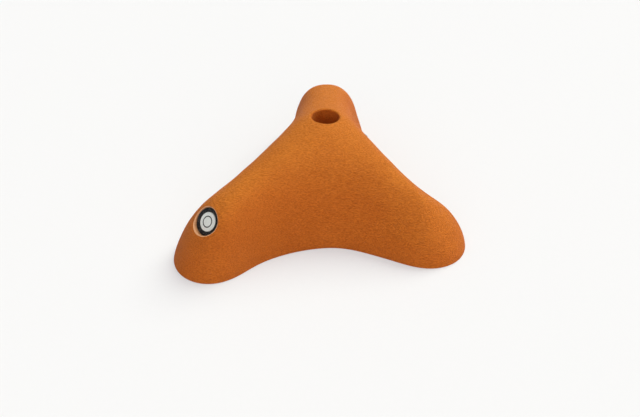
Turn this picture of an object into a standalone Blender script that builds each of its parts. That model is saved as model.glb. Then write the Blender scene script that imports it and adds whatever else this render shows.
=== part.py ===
"""Three-armed bolt-on climbing hold, modelled as its separate pieces.

The hold is a polyurethane casting with a hollow, ribbed back. A steel washer is moulded in under the bolt's
head, a two-piece round badge sits in a pocket on the left arm, and a bolt and a small anti-turn screw stand
loose in their holes. Lengths are metres and angles are degrees. Z points out of the wall, the flat back lies
at z = 0, X runs to the right and Y away from the viewer. The bolt's axis is the hub, where the ridges of the
three arms meet.
"""

from collections import namedtuple
from math import cos, pi, radians, sin, sqrt

import bmesh
import bpy
from mathutils import Matrix, Vector
from mathutils.bvhtree import BVHTree

# Outside of the casting
HUB_HEIGHT = 0.0702

FAR_REACH = 0.0628
FAR_DIRECTION = 90.0
FAR_END_RADIUS = 0.0243
FAR_RIDGE_END_HEIGHT = 0.0512
FAR_RIDGE_REACH = 0.0586
FAR_RIDGE_DIRECTION = 90.0
FAR_PLAN_FULLNESS = 2.50
FAR_CROWN_FULLNESS = 2.55
FAR_RIDGE_POWER = 0.81

LEFT_REACH = 0.0955
LEFT_DIRECTION = 220.4
LEFT_END_RADIUS = 0.0250
LEFT_RIDGE_END_HEIGHT = 0.0467
LEFT_RIDGE_REACH = 0.0804
LEFT_RIDGE_DIRECTION = 223.3
LEFT_PLAN_FULLNESS = 2.42
LEFT_CROWN_FULLNESS = 1.29
LEFT_RIDGE_POWER = 1.06

RIGHT_REACH = 0.0859
RIGHT_DIRECTION = 322.8
RIGHT_END_RADIUS = 0.0219
RIGHT_RIDGE_END_HEIGHT = 0.0356
RIGHT_RIDGE_REACH = 0.0775
RIGHT_RIDGE_DIRECTION = 322.2
RIGHT_PLAN_FULLNESS = 1.44
RIGHT_CROWN_FULLNESS = 1.83
RIGHT_RIDGE_POWER = 1.14

FAR_LEFT_VALLEY_RADIUS = 0.131
FRONT_VALLEY_RADIUS = 0.090
RIGHT_FAR_VALLEY_RADIUS = 0.093

# Hollow back
SIDE_WALL = 0.0085
TOP_WALL = 0.0100
RIB_WIDTH_AT_BACK = 0.0040
RIB_DRAFT = 1.0
RIB_SETBACK = 0.0015
BOLT_BOSS_RADIUS = 0.0155
SCREW_BOSS_RADIUS = 0.0085
BOSS_DRAFT = 1.5

# Mounting bolt, its washer and its hole
BOLT_DIAMETER = 0.010
BOLT_LENGTH = 0.040
BOLT_HEAD_DIAMETER = 0.016
BOLT_HEAD_HEIGHT = 0.010
BOLT_SOCKET_WIDTH = 0.008
BOLT_SOCKET_DEPTH = 0.005
BOLT_CHAMFER = 0.0010
BOLT_HOLE_DIAMETER = 0.0110
COUNTERBORE_DIAMETER = 0.0180
MOUTH_RADIUS = 0.0020
WASHER_DIAMETER = 0.0210
WASHER_THICKNESS = 0.0020
WASHER_SEAT_HEIGHT = 0.0220

# Anti-turn screw and its hole
SCREW_DIAMETER = 0.0050
SCREW_LENGTH = 0.0400
SCREW_HEAD_DIAMETER = 0.0100
SCREW_HEAD_RIM = 0.0006
SCREW_POINT_LENGTH = 0.0060
SCREW_SOCKET_RADIUS = 0.0022
SCREW_SOCKET_LOBE_DEPTH = 0.0006
SCREW_SOCKET_DEPTH = 0.0025
SCREW_HOLE_DIAMETER = 0.0058
SCREW_POCKET_DIAMETER = 0.0115
SCREW_SEAT_HEIGHT = 0.0140
SCREW_FROM_HUB = 0.0260
SCREW_DIRECTION = 25.0

# Badge in the end of the left arm
BADGE_DIAMETER = 0.0175
BADGE_THICKNESS = 0.0024
BADGE_INLAY_DIAMETER = 0.0122
BADGE_INLAY_THICKNESS = 0.0012
BADGE_EDGE_CHAMFER = 0.0003
BADGE_FACE_DEPTH = 0.0032
BADGE_AIM_REACH = 0.0774
BADGE_AIM_FROM_DIRECTION = 220.8
BADGE_AIM_HEIGHT = 0.0150
BADGE_AIM_DIRECTION = 225.0
BADGE_AIM_RISE = 41.0

# Gap between pieces that touch, and the height of a loose fastener's tip above the back
SEAT_GAP = 0.0003
TIP_GAP = 0.0004

# Fineness of the casting's cage and of turned pieces
TIP_STEPS = 6
SIDE_STEPS = 8
SECTION_ROWS = 7
CAVITY_TIP_STEPS = 4
CAVITY_SIDE_STEPS = 6
CAVITY_ROWS = 5
SMOOTHING_LEVELS = 1
TURNED_STEPS = 32
SKIRT_DEPTH = 0.003
CAVITY_SKIRT_DEPTH = 0.005
BEYOND = 0.020

Arm = namedtuple("Arm", "reach direction end_radius ridge_reach ridge_direction ridge_end_height "
                 "ridge_power plan_fullness crown_fullness")
Form = namedtuple("Form", "arms valley_radii hub_height")
Column = namedtuple("Column", "point arm share step")

FAR_ARM = Arm(FAR_REACH, FAR_DIRECTION, FAR_END_RADIUS, FAR_RIDGE_REACH, FAR_RIDGE_DIRECTION,
              FAR_RIDGE_END_HEIGHT, FAR_RIDGE_POWER, FAR_PLAN_FULLNESS, FAR_CROWN_FULLNESS)
LEFT_ARM = Arm(LEFT_REACH, LEFT_DIRECTION, LEFT_END_RADIUS, LEFT_RIDGE_REACH, LEFT_RIDGE_DIRECTION,
               LEFT_RIDGE_END_HEIGHT, LEFT_RIDGE_POWER, LEFT_PLAN_FULLNESS, LEFT_CROWN_FULLNESS)
RIGHT_ARM = Arm(RIGHT_REACH, RIGHT_DIRECTION, RIGHT_END_RADIUS, RIGHT_RIDGE_REACH, RIGHT_RIDGE_DIRECTION,
                RIGHT_RIDGE_END_HEIGHT, RIGHT_RIDGE_POWER, RIGHT_PLAN_FULLNESS, RIGHT_CROWN_FULLNESS)
OUTSIDE = Form((FAR_ARM, LEFT_ARM, RIGHT_ARM),
               (FAR_LEFT_VALLEY_RADIUS, FRONT_VALLEY_RADIUS, RIGHT_FAR_VALLEY_RADIUS),
               HUB_HEIGHT)


def clear_scene():
    """Remove the objects that a new file starts with."""
    for item in list(bpy.data.objects):
        bpy.data.objects.remove(item)


def new_collection(name):
    """A collection of this name in the scene."""
    collection = bpy.data.collections.new(name)
    bpy.context.scene.collection.children.link(collection)
    return collection


def new_material(name, colour, roughness, metallic):
    """A Principled material of one colour."""
    material = bpy.data.materials.new(name)
    material.use_nodes = True
    shader = material.node_tree.nodes["Principled BSDF"]
    shader.inputs["Base Color"].default_value = (*colour, 1.0)
    shader.inputs["Roughness"].default_value = roughness
    shader.inputs["Metallic"].default_value = metallic
    return material


def polar(length, direction):
    """The plan point at this distance from the hub and this direction."""
    return Vector((length * cos(radians(direction)), length * sin(radians(direction))))


def hollow_form(form, side_wall, top_wall):
    """The form inside a wall: end circles and heights shrink by the wall, and valley circles grow by it."""
    arms = tuple(arm._replace(end_radius=arm.end_radius - side_wall,
                              ridge_end_height=arm.ridge_end_height - top_wall)
                 for arm in form.arms)
    valleys = tuple(radius + side_wall for radius in form.valley_radii)
    return Form(arms, valleys, form.hub_height - top_wall)


def valley_centre(first, second, valley_radius):
    """Centre of the circle that touches two neighbouring end circles from outside, away from the hub."""
    start = polar(first.reach, first.direction)
    finish = polar(second.reach, second.direction)
    span = (finish - start).length
    along = (finish - start) / span
    outward = Vector((along.y, -along.x))
    first_radius = first.end_radius + valley_radius
    second_radius = second.end_radius + valley_radius
    foot = (span ** 2 + first_radius ** 2 - second_radius ** 2) / (2 * span)
    return start + along * foot + outward * sqrt(first_radius ** 2 - foot ** 2)


def heading(start, finish):
    """The direction of one plan point from another, in radians."""
    return Vector((1.0, 0.0)).angle_signed(finish - start) * -1.0


def arc(centre, radius, start_angle, finish_angle, steps):
    """Cage points along an arc. They stand off it so that the smoothed outline has the radius asked for."""
    step = (finish_angle - start_angle) / steps
    cage_radius = 3.0 * radius / (2.0 + cos(step))
    angles = [start_angle + step * index for index in range(steps + 1)]
    return [centre + Vector((cos(angle), sin(angle))) * cage_radius for angle in angles]


def outline(form, tip_steps, side_steps):
    """The form's plan outline, counterclockwise: round each arm's end, then in and out through the valley.

    Each column has its plan point, the arm it climbs to, and how far out along that arm's ridge it ends,
    as a share and as a count of steps from the hub.
    """
    half = side_steps // 2
    count = len(form.arms)
    centres = [polar(arm.reach, arm.direction) for arm in form.arms]
    valleys = [valley_centre(form.arms[k], form.arms[(k + 1) % count], form.valley_radii[k])
               for k in range(count)]
    columns = []
    for k, arm in enumerate(form.arms):
        follower = (k + 1) % count
        start = heading(centres[k], valleys[k - 1])
        finish = heading(centres[k], valleys[k])
        finish += 2 * pi if finish < start else 0.0
        for point in arc(centres[k], arm.end_radius, start, finish, tip_steps):
            columns.append(Column(point, k, 1.0, half))
        start = heading(valleys[k], centres[k])
        finish = heading(valleys[k], centres[follower])
        finish -= 2 * pi if finish > start else 0.0
        side = arc(valleys[k], form.valley_radii[k], start, finish, side_steps)
        for index in range(1, side_steps):
            from_hub = abs(half - index)
            owner = k if index <= half else follower
            columns.append(Column(side[index], owner, from_hub / half, from_hub))
    return columns


def blended(form, field, column):
    """An arm's value of this field, eased towards the mean of the arms as the column nears the hub."""
    mean = sum(getattr(arm, field) for arm in form.arms) / len(form.arms)
    own = getattr(form.arms[column.arm], field)
    return mean + (own - mean) * column.share


def section_point(form, column, turn):
    """A point on the section from the outline up to the ridge, for a turn of 0 to 90 degrees.

    The section is a quarter of a superellipse: it leaves the back steeply and reaches the ridge level. Its
    height follows the crest line, which runs on past the arm's end circle so that the tip rounds over evenly.
    """
    arm = form.arms[column.arm]
    ridge = polar(arm.ridge_reach, arm.ridge_direction)
    inward = 1.0 - cos(turn) ** (2.0 / blended(form, "plan_fullness", column))
    rise = sin(turn) ** (2.0 / blended(form, "crown_fullness", column))
    place = column.point + (ridge * column.share - column.point) * inward
    along = place.dot(ridge) / ridge.length_squared
    outwards = max(column.share + (along - column.share) * column.share ** 2, 0.0)
    crest = form.hub_height + (arm.ridge_end_height - form.hub_height) * outwards ** arm.ridge_power
    return Vector((place.x, place.y, crest * rise))


def dome_cage(form, tip_steps, side_steps, rows, skirt_depth):
    """The coarse cage of the form's surface, open at the foot of an upright skirt below the back."""
    cage = bmesh.new()
    ridge = {}

    def ridge_vertex(column):
        key = (column.arm, column.step) if column.step else "hub"
        if key not in ridge:
            ridge[key] = cage.verts.new(section_point(form, column, pi / 2))
        return ridge[key]

    strips = []
    for column in outline(form, tip_steps, side_steps):
        foot = cage.verts.new((*column.point, -skirt_depth))
        flank = [cage.verts.new(section_point(form, column, pi / 2 * row / (rows - 1)))
                 for row in range(rows - 1)]
        strips.append([foot, *flank, ridge_vertex(column)])
    for index, strip in enumerate(strips):
        following = strips[(index + 1) % len(strips)]
        for row in range(len(strip) - 1):
            corners = [strip[row], following[row], following[row + 1], strip[row + 1]]
            cage.faces.new(list(dict.fromkeys(corners)))
    return cage


def dome(name, form, tip_steps, side_steps, rows, skirt_depth, collection):
    """A closed solid under the form's surface: the cage is smoothed, and the skirt's foot is closed."""
    solid = new_object(name, dome_cage(form, tip_steps, side_steps, rows, skirt_depth), collection)
    smoothing = solid.modifiers.new("smoothing", "SUBSURF")
    smoothing.levels = SMOOTHING_LEVELS
    smoothing.render_levels = SMOOTHING_LEVELS
    bpy.context.view_layer.update()
    smooth = bmesh.new()
    smooth.from_object(solid, bpy.context.evaluated_depsgraph_get())
    bmesh.ops.holes_fill(smooth, edges=[edge for edge in smooth.edges if edge.is_boundary], sides=0)
    bmesh.ops.recalc_face_normals(smooth, faces=smooth.faces)
    solid.modifiers.remove(smoothing)
    smooth.to_mesh(solid.data)
    smooth.free()
    return solid


def new_object(name, shape, collection):
    """An object made from a bmesh."""
    mesh = bpy.data.meshes.new(name)
    shape.to_mesh(mesh)
    shape.free()
    item = bpy.data.objects.new(name, mesh)
    collection.objects.link(item)
    return item


def turned(name, profile, closed, collection):
    """A solid of revolution about Z from a profile of (radius, height) points."""
    shape = bmesh.new()
    points = [shape.verts.new((radius, 0.0, height)) for radius, height in profile]
    for first, second in zip(points, points[1:]):
        shape.edges.new((first, second))
    if closed:
        shape.edges.new((points[-1], points[0]))
    item = new_object(name, shape, collection)
    screw = item.modifiers.new("turn", "SCREW")
    screw.axis = "Z"
    screw.steps = TURNED_STEPS
    screw.render_steps = TURNED_STEPS
    screw.use_merge_vertices = True
    screw.merge_threshold = 0.00001
    return item


def prism(name, radii, bottom, top, collection):
    """An upright prism whose corners stand at the given radii, evenly round the axis."""
    shape = bmesh.new()
    rings = []
    for height in (bottom, top):
        rings.append([shape.verts.new((radius * cos(2 * pi * k / len(radii)),
                                       radius * sin(2 * pi * k / len(radii)), height))
                      for k, radius in enumerate(radii)])
    shape.faces.new(list(reversed(rings[0])))
    shape.faces.new(rings[1])
    for k in range(len(radii)):
        following = (k + 1) % len(radii)
        shape.faces.new([rings[0][k], rings[0][following], rings[1][following], rings[1][k]])
    return new_object(name, shape, collection)


def rib_bar(name, length, direction, collection):
    """The room of one rib: a bar from inside the bolt boss outwards, thinner at the back so that the core draws."""
    start = BOLT_BOSS_RADIUS / 2
    top = HUB_HEIGHT
    spread = (top - RIB_SETBACK) * sin(radians(RIB_DRAFT))
    shape = bmesh.new()
    bmesh.ops.create_cube(shape, size=1.0)
    for corner in shape.verts:
        width = RIB_WIDTH_AT_BACK + (2 * spread if corner.co.z > 0 else 0.0)
        corner.co.x = start + (length - start) * (corner.co.x + 0.5)
        corner.co.y *= width
        corner.co.z = top if corner.co.z > 0 else RIB_SETBACK
    item = new_object(name, shape, collection)
    item.rotation_euler.z = radians(direction)
    return item


def boss_cone(name, radius, place, collection):
    """The room of one boss: a drafted column from below the back up to the hub's height."""
    height = HUB_HEIGHT + BEYOND
    shape = bmesh.new()
    bmesh.ops.create_cone(shape, cap_ends=True, segments=TURNED_STEPS, radius1=radius,
                          radius2=radius + height * sin(radians(BOSS_DRAFT)), depth=height)
    bmesh.ops.translate(shape, verts=shape.verts, vec=(0.0, 0.0, height / 2 - BEYOND))
    item = new_object(name, shape, collection)
    item.location = place
    return item


def join_or_cut(item, other, operation, label):
    """Add a Boolean modifier to an object."""
    modifier = item.modifiers.new(label, "BOOLEAN")
    modifier.operation = operation
    modifier.object = other


def as_guide(item):
    """Mark a cutter so that it is drawn as wire and never rendered."""
    item.hide_render = True
    item.display_type = "WIRE"
    return item


def finish(item, material, shade_angle):
    """Give a piece its material and smooth shading up to an edge angle."""
    item.data.materials.append(material)
    item.data.shade_smooth()
    item.data.set_sharp_from_angle(angle=radians(shade_angle))


def evaluated_tree(item):
    """A search tree of an object's mesh as its modifiers leave it."""
    bpy.context.view_layer.update()
    return BVHTree.FromObject(item, bpy.context.evaluated_depsgraph_get())


def mouth_height(tree):
    """Mean height of the casting round the counterbore's edge."""
    radius = COUNTERBORE_DIAMETER / 2
    heights = []
    for k in range(TURNED_STEPS):
        place = polar(radius, 360.0 * k / TURNED_STEPS)
        hit = tree.ray_cast(Vector((place.x, place.y, HUB_HEIGHT + BEYOND)), Vector((0.0, 0.0, -1.0)))[0]
        heights.append(hit.z)
    return sum(heights) / len(heights)


def badge_seat(tree):
    """The badge's place on the left arm's end: a matrix whose origin is on the casting and whose Z looks out.

    The place is where a line from inside the arm, along the badge's own axis, leaves the casting.
    """
    start = polar(BADGE_AIM_REACH, BADGE_AIM_FROM_DIRECTION)
    level = cos(radians(BADGE_AIM_RISE))
    axis = Vector((level * cos(radians(BADGE_AIM_DIRECTION)),
                   level * sin(radians(BADGE_AIM_DIRECTION)),
                   sin(radians(BADGE_AIM_RISE))))
    spot = tree.ray_cast(Vector((start.x, start.y, BADGE_AIM_HEIGHT)), axis)[0]
    across = Vector((0.0, 0.0, 1.0)).cross(axis).normalized()
    upward = axis.cross(across)
    turn = Matrix((across, upward, axis)).transposed().to_4x4()
    return Matrix.Translation(spot) @ turn


def bolt_hole_cutter(top, collection):
    """Bolt hole, washer groove, counterbore and rounded mouth in one turned cutter."""
    hole = BOLT_HOLE_DIAMETER / 2
    bore = COUNTERBORE_DIAMETER / 2
    groove = WASHER_DIAMETER / 2 + SEAT_GAP
    steps = 4
    lip = []
    for k in range(steps + 1):
        angle = pi / 2 * k / steps
        lip.append((bore + MOUTH_RADIUS * (1 - sin(angle)), top - MOUTH_RADIUS * (1 - cos(angle))))
    profile = [(0.0, top + BEYOND), (bore + MOUTH_RADIUS, top + BEYOND), *lip,
               (bore, WASHER_SEAT_HEIGHT + SEAT_GAP), (groove, WASHER_SEAT_HEIGHT + SEAT_GAP),
               (groove, WASHER_SEAT_HEIGHT - WASHER_THICKNESS - SEAT_GAP),
               (hole, WASHER_SEAT_HEIGHT - WASHER_THICKNESS - SEAT_GAP),
               (hole, -BEYOND), (0.0, -BEYOND)]
    return as_guide(turned("bolt_hole", profile, False, collection))


def screw_place():
    """Plan position of the anti-turn screw."""
    place = polar(SCREW_FROM_HUB, SCREW_DIRECTION)
    return Vector((place.x, place.y, 0.0))


def screw_hole_cutter(collection):
    """Screw hole, its countersink and the pocket above it."""
    hole = SCREW_HOLE_DIAMETER / 2
    pocket = SCREW_POCKET_DIAMETER / 2
    profile = [(0.0, HUB_HEIGHT + BEYOND), (pocket, HUB_HEIGHT + BEYOND), (pocket, SCREW_SEAT_HEIGHT),
               (hole, SCREW_SEAT_HEIGHT - (pocket - hole)), (hole, -BEYOND), (0.0, -BEYOND)]
    cutter = as_guide(turned("screw_hole", profile, False, collection))
    cutter.location = screw_place()
    return cutter


def badge_pocket_cutter(seat, collection):
    """Round flat-bottomed pocket for the badge, square to the surface."""
    radius = BADGE_DIAMETER / 2 + SEAT_GAP
    floor = -(BADGE_FACE_DEPTH + BADGE_THICKNESS + SEAT_GAP)
    profile = [(0.0, BEYOND), (radius, BEYOND), (radius, floor), (0.0, floor)]
    cutter = as_guide(turned("badge_pocket", profile, False, collection))
    cutter.matrix_world = seat
    return cutter


def cavity_cutter(collection):
    """The hollow of the back, less the ribs and bosses that stand in it."""
    cavity = dome("hollow", hollow_form(OUTSIDE, SIDE_WALL, TOP_WALL), CAVITY_TIP_STEPS,
                  CAVITY_SIDE_STEPS, CAVITY_ROWS, CAVITY_SKIRT_DEPTH, collection)
    arms = OUTSIDE.arms
    for k, arm in enumerate(arms):
        rib = as_guide(rib_bar(f"arm_rib_{k}", arm.reach + arm.end_radius, arm.direction, collection))
        join_or_cut(cavity, rib, "DIFFERENCE", f"arm rib {k}")
        centre = valley_centre(arm, arms[(k + 1) % len(arms)], OUTSIDE.valley_radii[k])
        direction = heading(Vector((0.0, 0.0)), centre) * 180.0 / pi
        web = as_guide(rib_bar(f"valley_rib_{k}", centre.length - OUTSIDE.valley_radii[k], direction,
                               collection))
        join_or_cut(cavity, web, "DIFFERENCE", f"valley rib {k}")
    bolt_boss = as_guide(boss_cone("bolt_boss", BOLT_BOSS_RADIUS, (0.0, 0.0, 0.0), collection))
    screw_boss = as_guide(boss_cone("screw_boss", SCREW_BOSS_RADIUS, screw_place(), collection))
    join_or_cut(cavity, bolt_boss, "DIFFERENCE", "bolt boss")
    join_or_cut(cavity, screw_boss, "DIFFERENCE", "screw boss")
    return as_guide(cavity)


def back_trim_cutter(collection):
    """A block whose top face is the back plane."""
    size = 4 * (max(arm.reach + arm.end_radius for arm in OUTSIDE.arms))
    shape = bmesh.new()
    bmesh.ops.create_cube(shape, size=size)
    bmesh.ops.translate(shape, verts=shape.verts, vec=(0.0, 0.0, -size / 2))
    return as_guide(new_object("back_trim", shape, collection))


def build_body(parts, cutters, material):
    """The casting, and the badge's seat on its surface."""
    body = dome("hold_body", OUTSIDE, TIP_STEPS, SIDE_STEPS, SECTION_ROWS, SKIRT_DEPTH, parts)
    surface = evaluated_tree(body)
    seat = badge_seat(surface)
    join_or_cut(body, cavity_cutter(cutters), "DIFFERENCE", "hollow back")
    join_or_cut(body, back_trim_cutter(cutters), "DIFFERENCE", "flat back")
    join_or_cut(body, bolt_hole_cutter(mouth_height(surface), cutters), "DIFFERENCE", "bolt hole")
    join_or_cut(body, screw_hole_cutter(cutters), "DIFFERENCE", "screw hole")
    join_or_cut(body, badge_pocket_cutter(seat, cutters), "DIFFERENCE", "badge pocket")
    finish(body, material, 40.0)
    return body, seat


def build_washer(parts, material):
    """Flat steel washer that carries the bolt's head."""
    outer = WASHER_DIAMETER / 2
    inner = BOLT_HOLE_DIAMETER / 2
    bottom = WASHER_SEAT_HEIGHT - WASHER_THICKNESS
    profile = [(outer, WASHER_SEAT_HEIGHT), (outer, bottom), (inner, bottom), (inner, WASHER_SEAT_HEIGHT)]
    washer = turned("bolt_washer", profile, True, parts)
    finish(washer, material, 30.0)
    return washer


def build_bolt(parts, cutters, material):
    """Socket-head bolt, standing loose in its hole with its tip just above the back plane."""
    shank = BOLT_DIAMETER / 2
    head = BOLT_HEAD_DIAMETER / 2
    top = BOLT_LENGTH + BOLT_HEAD_HEIGHT
    profile = [(0.0, top), (head - BOLT_CHAMFER, top), (head, top - BOLT_CHAMFER), (head, BOLT_LENGTH),
               (shank, BOLT_LENGTH), (shank, BOLT_CHAMFER), (shank - BOLT_CHAMFER, 0.0), (0.0, 0.0)]
    bolt = turned("mounting_bolt", profile, False, parts)
    corner = BOLT_SOCKET_WIDTH / 2 / cos(pi / 6)
    socket = as_guide(prism("bolt_socket", [corner] * 6, top - BOLT_SOCKET_DEPTH, top + BEYOND, cutters))
    join_or_cut(bolt, socket, "DIFFERENCE", "key socket")
    for item in (bolt, socket):
        item.location.z = TIP_GAP
    finish(bolt, material, 30.0)
    return bolt


def build_screw(parts, cutters, material):
    """Countersunk anti-turn screw, standing loose in its hole with its tip just above the back plane."""
    shank = SCREW_DIAMETER / 2
    head = SCREW_HEAD_DIAMETER / 2
    under_rim = SCREW_LENGTH - SCREW_HEAD_RIM
    profile = [(0.0, SCREW_LENGTH), (head, SCREW_LENGTH), (head, under_rim),
               (shank, under_rim - (head - shank)), (shank, SCREW_POINT_LENGTH), (0.0, 0.0)]
    screw = turned("anti_turn_screw", profile, False, parts)
    lobe = SCREW_SOCKET_RADIUS - SCREW_SOCKET_LOBE_DEPTH
    socket = as_guide(prism("screw_socket", [SCREW_SOCKET_RADIUS, lobe] * 6,
                            SCREW_LENGTH - SCREW_SOCKET_DEPTH, SCREW_LENGTH + BEYOND, cutters))
    join_or_cut(screw, socket, "DIFFERENCE", "star socket")
    for item in (screw, socket):
        item.location = screw_place() + Vector((0.0, 0.0, TIP_GAP))
    finish(screw, material, 30.0)
    return screw


def build_badge(parts, seat, carrier_material, inlay_material):
    """The badge's dark carrier, a shallow cup, and the pale disc let into it."""
    outer = BADGE_DIAMETER / 2
    recess = BADGE_INLAY_DIAMETER / 2 + SEAT_GAP
    depth = BADGE_INLAY_THICKNESS + SEAT_GAP
    face = seat @ Matrix.Translation((0.0, 0.0, -BADGE_FACE_DEPTH))
    cup = [(0.0, -depth), (recess, -depth), (recess, 0.0), (outer - BADGE_EDGE_CHAMFER, 0.0),
           (outer, -BADGE_EDGE_CHAMFER), (outer, -BADGE_THICKNESS), (0.0, -BADGE_THICKNESS)]
    carrier = turned("badge_carrier", cup, False, parts)
    carrier.matrix_world = face
    finish(carrier, carrier_material, 30.0)
    radius = BADGE_INLAY_DIAMETER / 2
    disc = [(0.0, 0.0), (radius - BADGE_EDGE_CHAMFER, 0.0), (radius, -BADGE_EDGE_CHAMFER),
            (radius, -BADGE_INLAY_THICKNESS), (0.0, -BADGE_INLAY_THICKNESS)]
    inlay = turned("badge_inlay", disc, False, parts)
    inlay.matrix_world = face
    finish(inlay, inlay_material, 30.0)


def centre_on_origin(body, collections):
    """Hang every piece and cutter on one empty that puts the middle of the casting's box over the origin."""
    bpy.context.view_layer.update()
    finished = body.evaluated_get(bpy.context.evaluated_depsgraph_get())
    xs = [vertex.co.x for vertex in finished.data.vertices]
    ys = [vertex.co.y for vertex in finished.data.vertices]
    origin = bpy.data.objects.new("hold_origin", None)
    collections[0].objects.link(origin)
    for collection in collections:
        for item in collection.objects:
            if item is not origin:
                item.parent = origin
    origin.location = (-(min(xs) + max(xs)) / 2, -(min(ys) + max(ys)) / 2, 0.0)
    bpy.context.view_layer.update()


def main():
    clear_scene()
    parts = new_collection("climbing_hold")
    cutters = new_collection("cutters")
    orange = new_material("cast_orange", (0.53, 0.115, 0.014), 0.75, 0.0)
    steel = new_material("zinc_steel", (0.55, 0.56, 0.58), 0.35, 1.0)
    dark = new_material("badge_black", (0.012, 0.012, 0.012), 0.35, 0.0)
    pale = new_material("badge_white", (0.80, 0.81, 0.78), 0.40, 0.0)
    body, seat = build_body(parts, cutters, orange)
    build_washer(parts, steel)
    build_bolt(parts, cutters, steel)
    build_screw(parts, cutters, steel)
    build_badge(parts, seat, dark, pale)
    centre_on_origin(body, (parts, cutters))


main()
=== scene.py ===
"""Finish of a bolt-on climbing hold: its grained casting, its fasteners, its badge, and a plain stage.

The script is laid out as a Blender add-on and runs as a script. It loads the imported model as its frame,
makes a finer surface for each piece, gives each a procedural material, and sets up the floor, the lamps and
the camera. Lengths are metres and angles are degrees, unless a name says otherwise. Z points out of the
wall, and the hub is the axis of the mounting bolt.
"""

from collections import namedtuple
import bmesh
import bpy
import numpy as np
from bpy.props import FloatProperty, FloatVectorProperty, PointerProperty
from mathutils import Matrix, Vector


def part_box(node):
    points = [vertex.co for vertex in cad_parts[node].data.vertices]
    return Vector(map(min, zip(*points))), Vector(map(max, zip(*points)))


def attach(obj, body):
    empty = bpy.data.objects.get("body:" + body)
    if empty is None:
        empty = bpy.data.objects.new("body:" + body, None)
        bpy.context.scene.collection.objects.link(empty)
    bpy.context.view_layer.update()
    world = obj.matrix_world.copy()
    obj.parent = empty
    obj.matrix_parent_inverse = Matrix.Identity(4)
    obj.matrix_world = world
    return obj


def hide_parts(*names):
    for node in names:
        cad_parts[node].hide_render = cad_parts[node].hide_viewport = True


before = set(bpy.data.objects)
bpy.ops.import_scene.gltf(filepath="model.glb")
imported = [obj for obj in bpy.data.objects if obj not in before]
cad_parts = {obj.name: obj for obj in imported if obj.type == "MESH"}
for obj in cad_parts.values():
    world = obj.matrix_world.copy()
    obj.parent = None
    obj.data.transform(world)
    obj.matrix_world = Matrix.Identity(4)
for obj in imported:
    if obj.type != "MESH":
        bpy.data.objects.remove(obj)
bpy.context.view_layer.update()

bl_info = {
    "name": "Climbing hold finish",
    "version": (1, 0, 0),
    "blender": (4, 5, 0),
    "location": "3D View > Sidebar > Climbing Hold",
    "description": "Builds the finished casting, fasteners, badge and stage of a bolt-on climbing hold",
    "category": "Object",
}

TURN = 2 * np.pi

# Outside form of the casting: for each arm, plan circle of its end and the crest that runs out along it
Arm = namedtuple("Arm", "reach direction end_radius ridge_reach ridge_direction ridge_end_height "
                 "ridge_power plan_fullness crown_fullness")
Form = namedtuple("Form", "arms valley_radii hub_height")
FAR_ARM = Arm(reach=0.0628, direction=90.0, end_radius=0.0243, ridge_reach=0.0586, ridge_direction=90.0,
              ridge_end_height=0.0512, ridge_power=0.81, plan_fullness=2.50, crown_fullness=2.55)
LEFT_ARM = Arm(reach=0.0955, direction=220.4, end_radius=0.0250, ridge_reach=0.0804, ridge_direction=223.3,
               ridge_end_height=0.0467, ridge_power=1.06, plan_fullness=2.42, crown_fullness=1.29)
RIGHT_ARM = Arm(reach=0.0859, direction=322.8, end_radius=0.0219, ridge_reach=0.0775, ridge_direction=322.2,
                ridge_end_height=0.0356, ridge_power=1.14, plan_fullness=1.44, crown_fullness=1.83)
OUTSIDE = Form(arms=(FAR_ARM, LEFT_ARM, RIGHT_ARM), valley_radii=(0.131, 0.090, 0.093), hub_height=0.0702)

# Walls, ribs and bosses of the hollow back
SIDE_WALL = 0.0085
TOP_WALL = 0.0100
RIB_WIDTH_AT_BACK = 0.0040
RIB_DRAFT = 1.0
RIB_SETBACK = 0.0015
BOLT_BOSS_RADIUS = 0.0155
SCREW_BOSS_RADIUS = 0.0085
BOSS_DRAFT = 1.5
HOLLOW_VOXEL = 0.0011
HOLLOW_SMOOTHING_ROUNDS = 6

# Holes and pockets of the casting. A plug is what is cut out before a pocket's rim and walls are built
BOLT_HOLE_RADIUS = 0.0055
COUNTERBORE_RADIUS = 0.0090
COUNTERBORE_PLUG_DEPTH = 0.030
WASHER_SEAT_HEIGHT = 0.0220
SCREW_HOLE_RADIUS = 0.0029
SCREW_POCKET_RADIUS = 0.00575
SCREW_POCKET_LIP = 0.0010
SCREW_PLUG_DEPTH = 0.060
SCREW_SEAT_HEIGHT = 0.0140
SCREW_LEDGE = 0.0003
BADGE_AXIS_DIRECTION = 225.0
BADGE_AXIS_RISE = 41.0
BADGE_POCKET_FILLET = 0.0003
BADGE_PLUG_DEPTH = 0.004
HOLE_CHAMFER = 0.0006
SEAT_GAP = 0.0003

# The dome's foot is cut off this many times its rounding above the back
FOOT_CUT_RATIO = 1.4

# The finished surface lies this far inside the CAD's, whose facets it rounds off
SKIN_INSET = 0.00012

# Slow unevenness that the hand-carved master leaves in the casting: its waves, the height below which they
# fade out, how they lean as they climb, and how much longer they are crosswise
Wave = namedtuple("Wave", "length depth direction phase")
WAVES = (Wave(0.031, 0.000070, 20.0, 0.4), Wave(0.023, 0.000055, 85.0, 1.9),
         Wave(0.017, 0.000040, 140.0, 3.3), Wave(0.012, 0.000020, 55.0, 5.1))
WAVES_FADE_HEIGHT = 0.012
WAVE_LEAN_ALONG = 0.6
WAVE_LEAN_ACROSS = -0.4
WAVE_CROSS_LENGTH = 1.3

# Soft swellings of the flanks: right of the far arm, and at the front and the back of the right arm
Swelling = namedtuple("Swelling", "reach direction level width height depth")
SWELLINGS = (Swelling(reach=0.0620, direction=67.5, level=0.0030, width=0.044, height=0.026, depth=0.0032),
             Swelling(reach=0.0730, direction=303.0, level=0.0030, width=0.044, height=0.030, depth=0.0044),
             Swelling(reach=0.0776, direction=337.4, level=0.0147, width=0.051, height=0.027, depth=0.0024))

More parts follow.
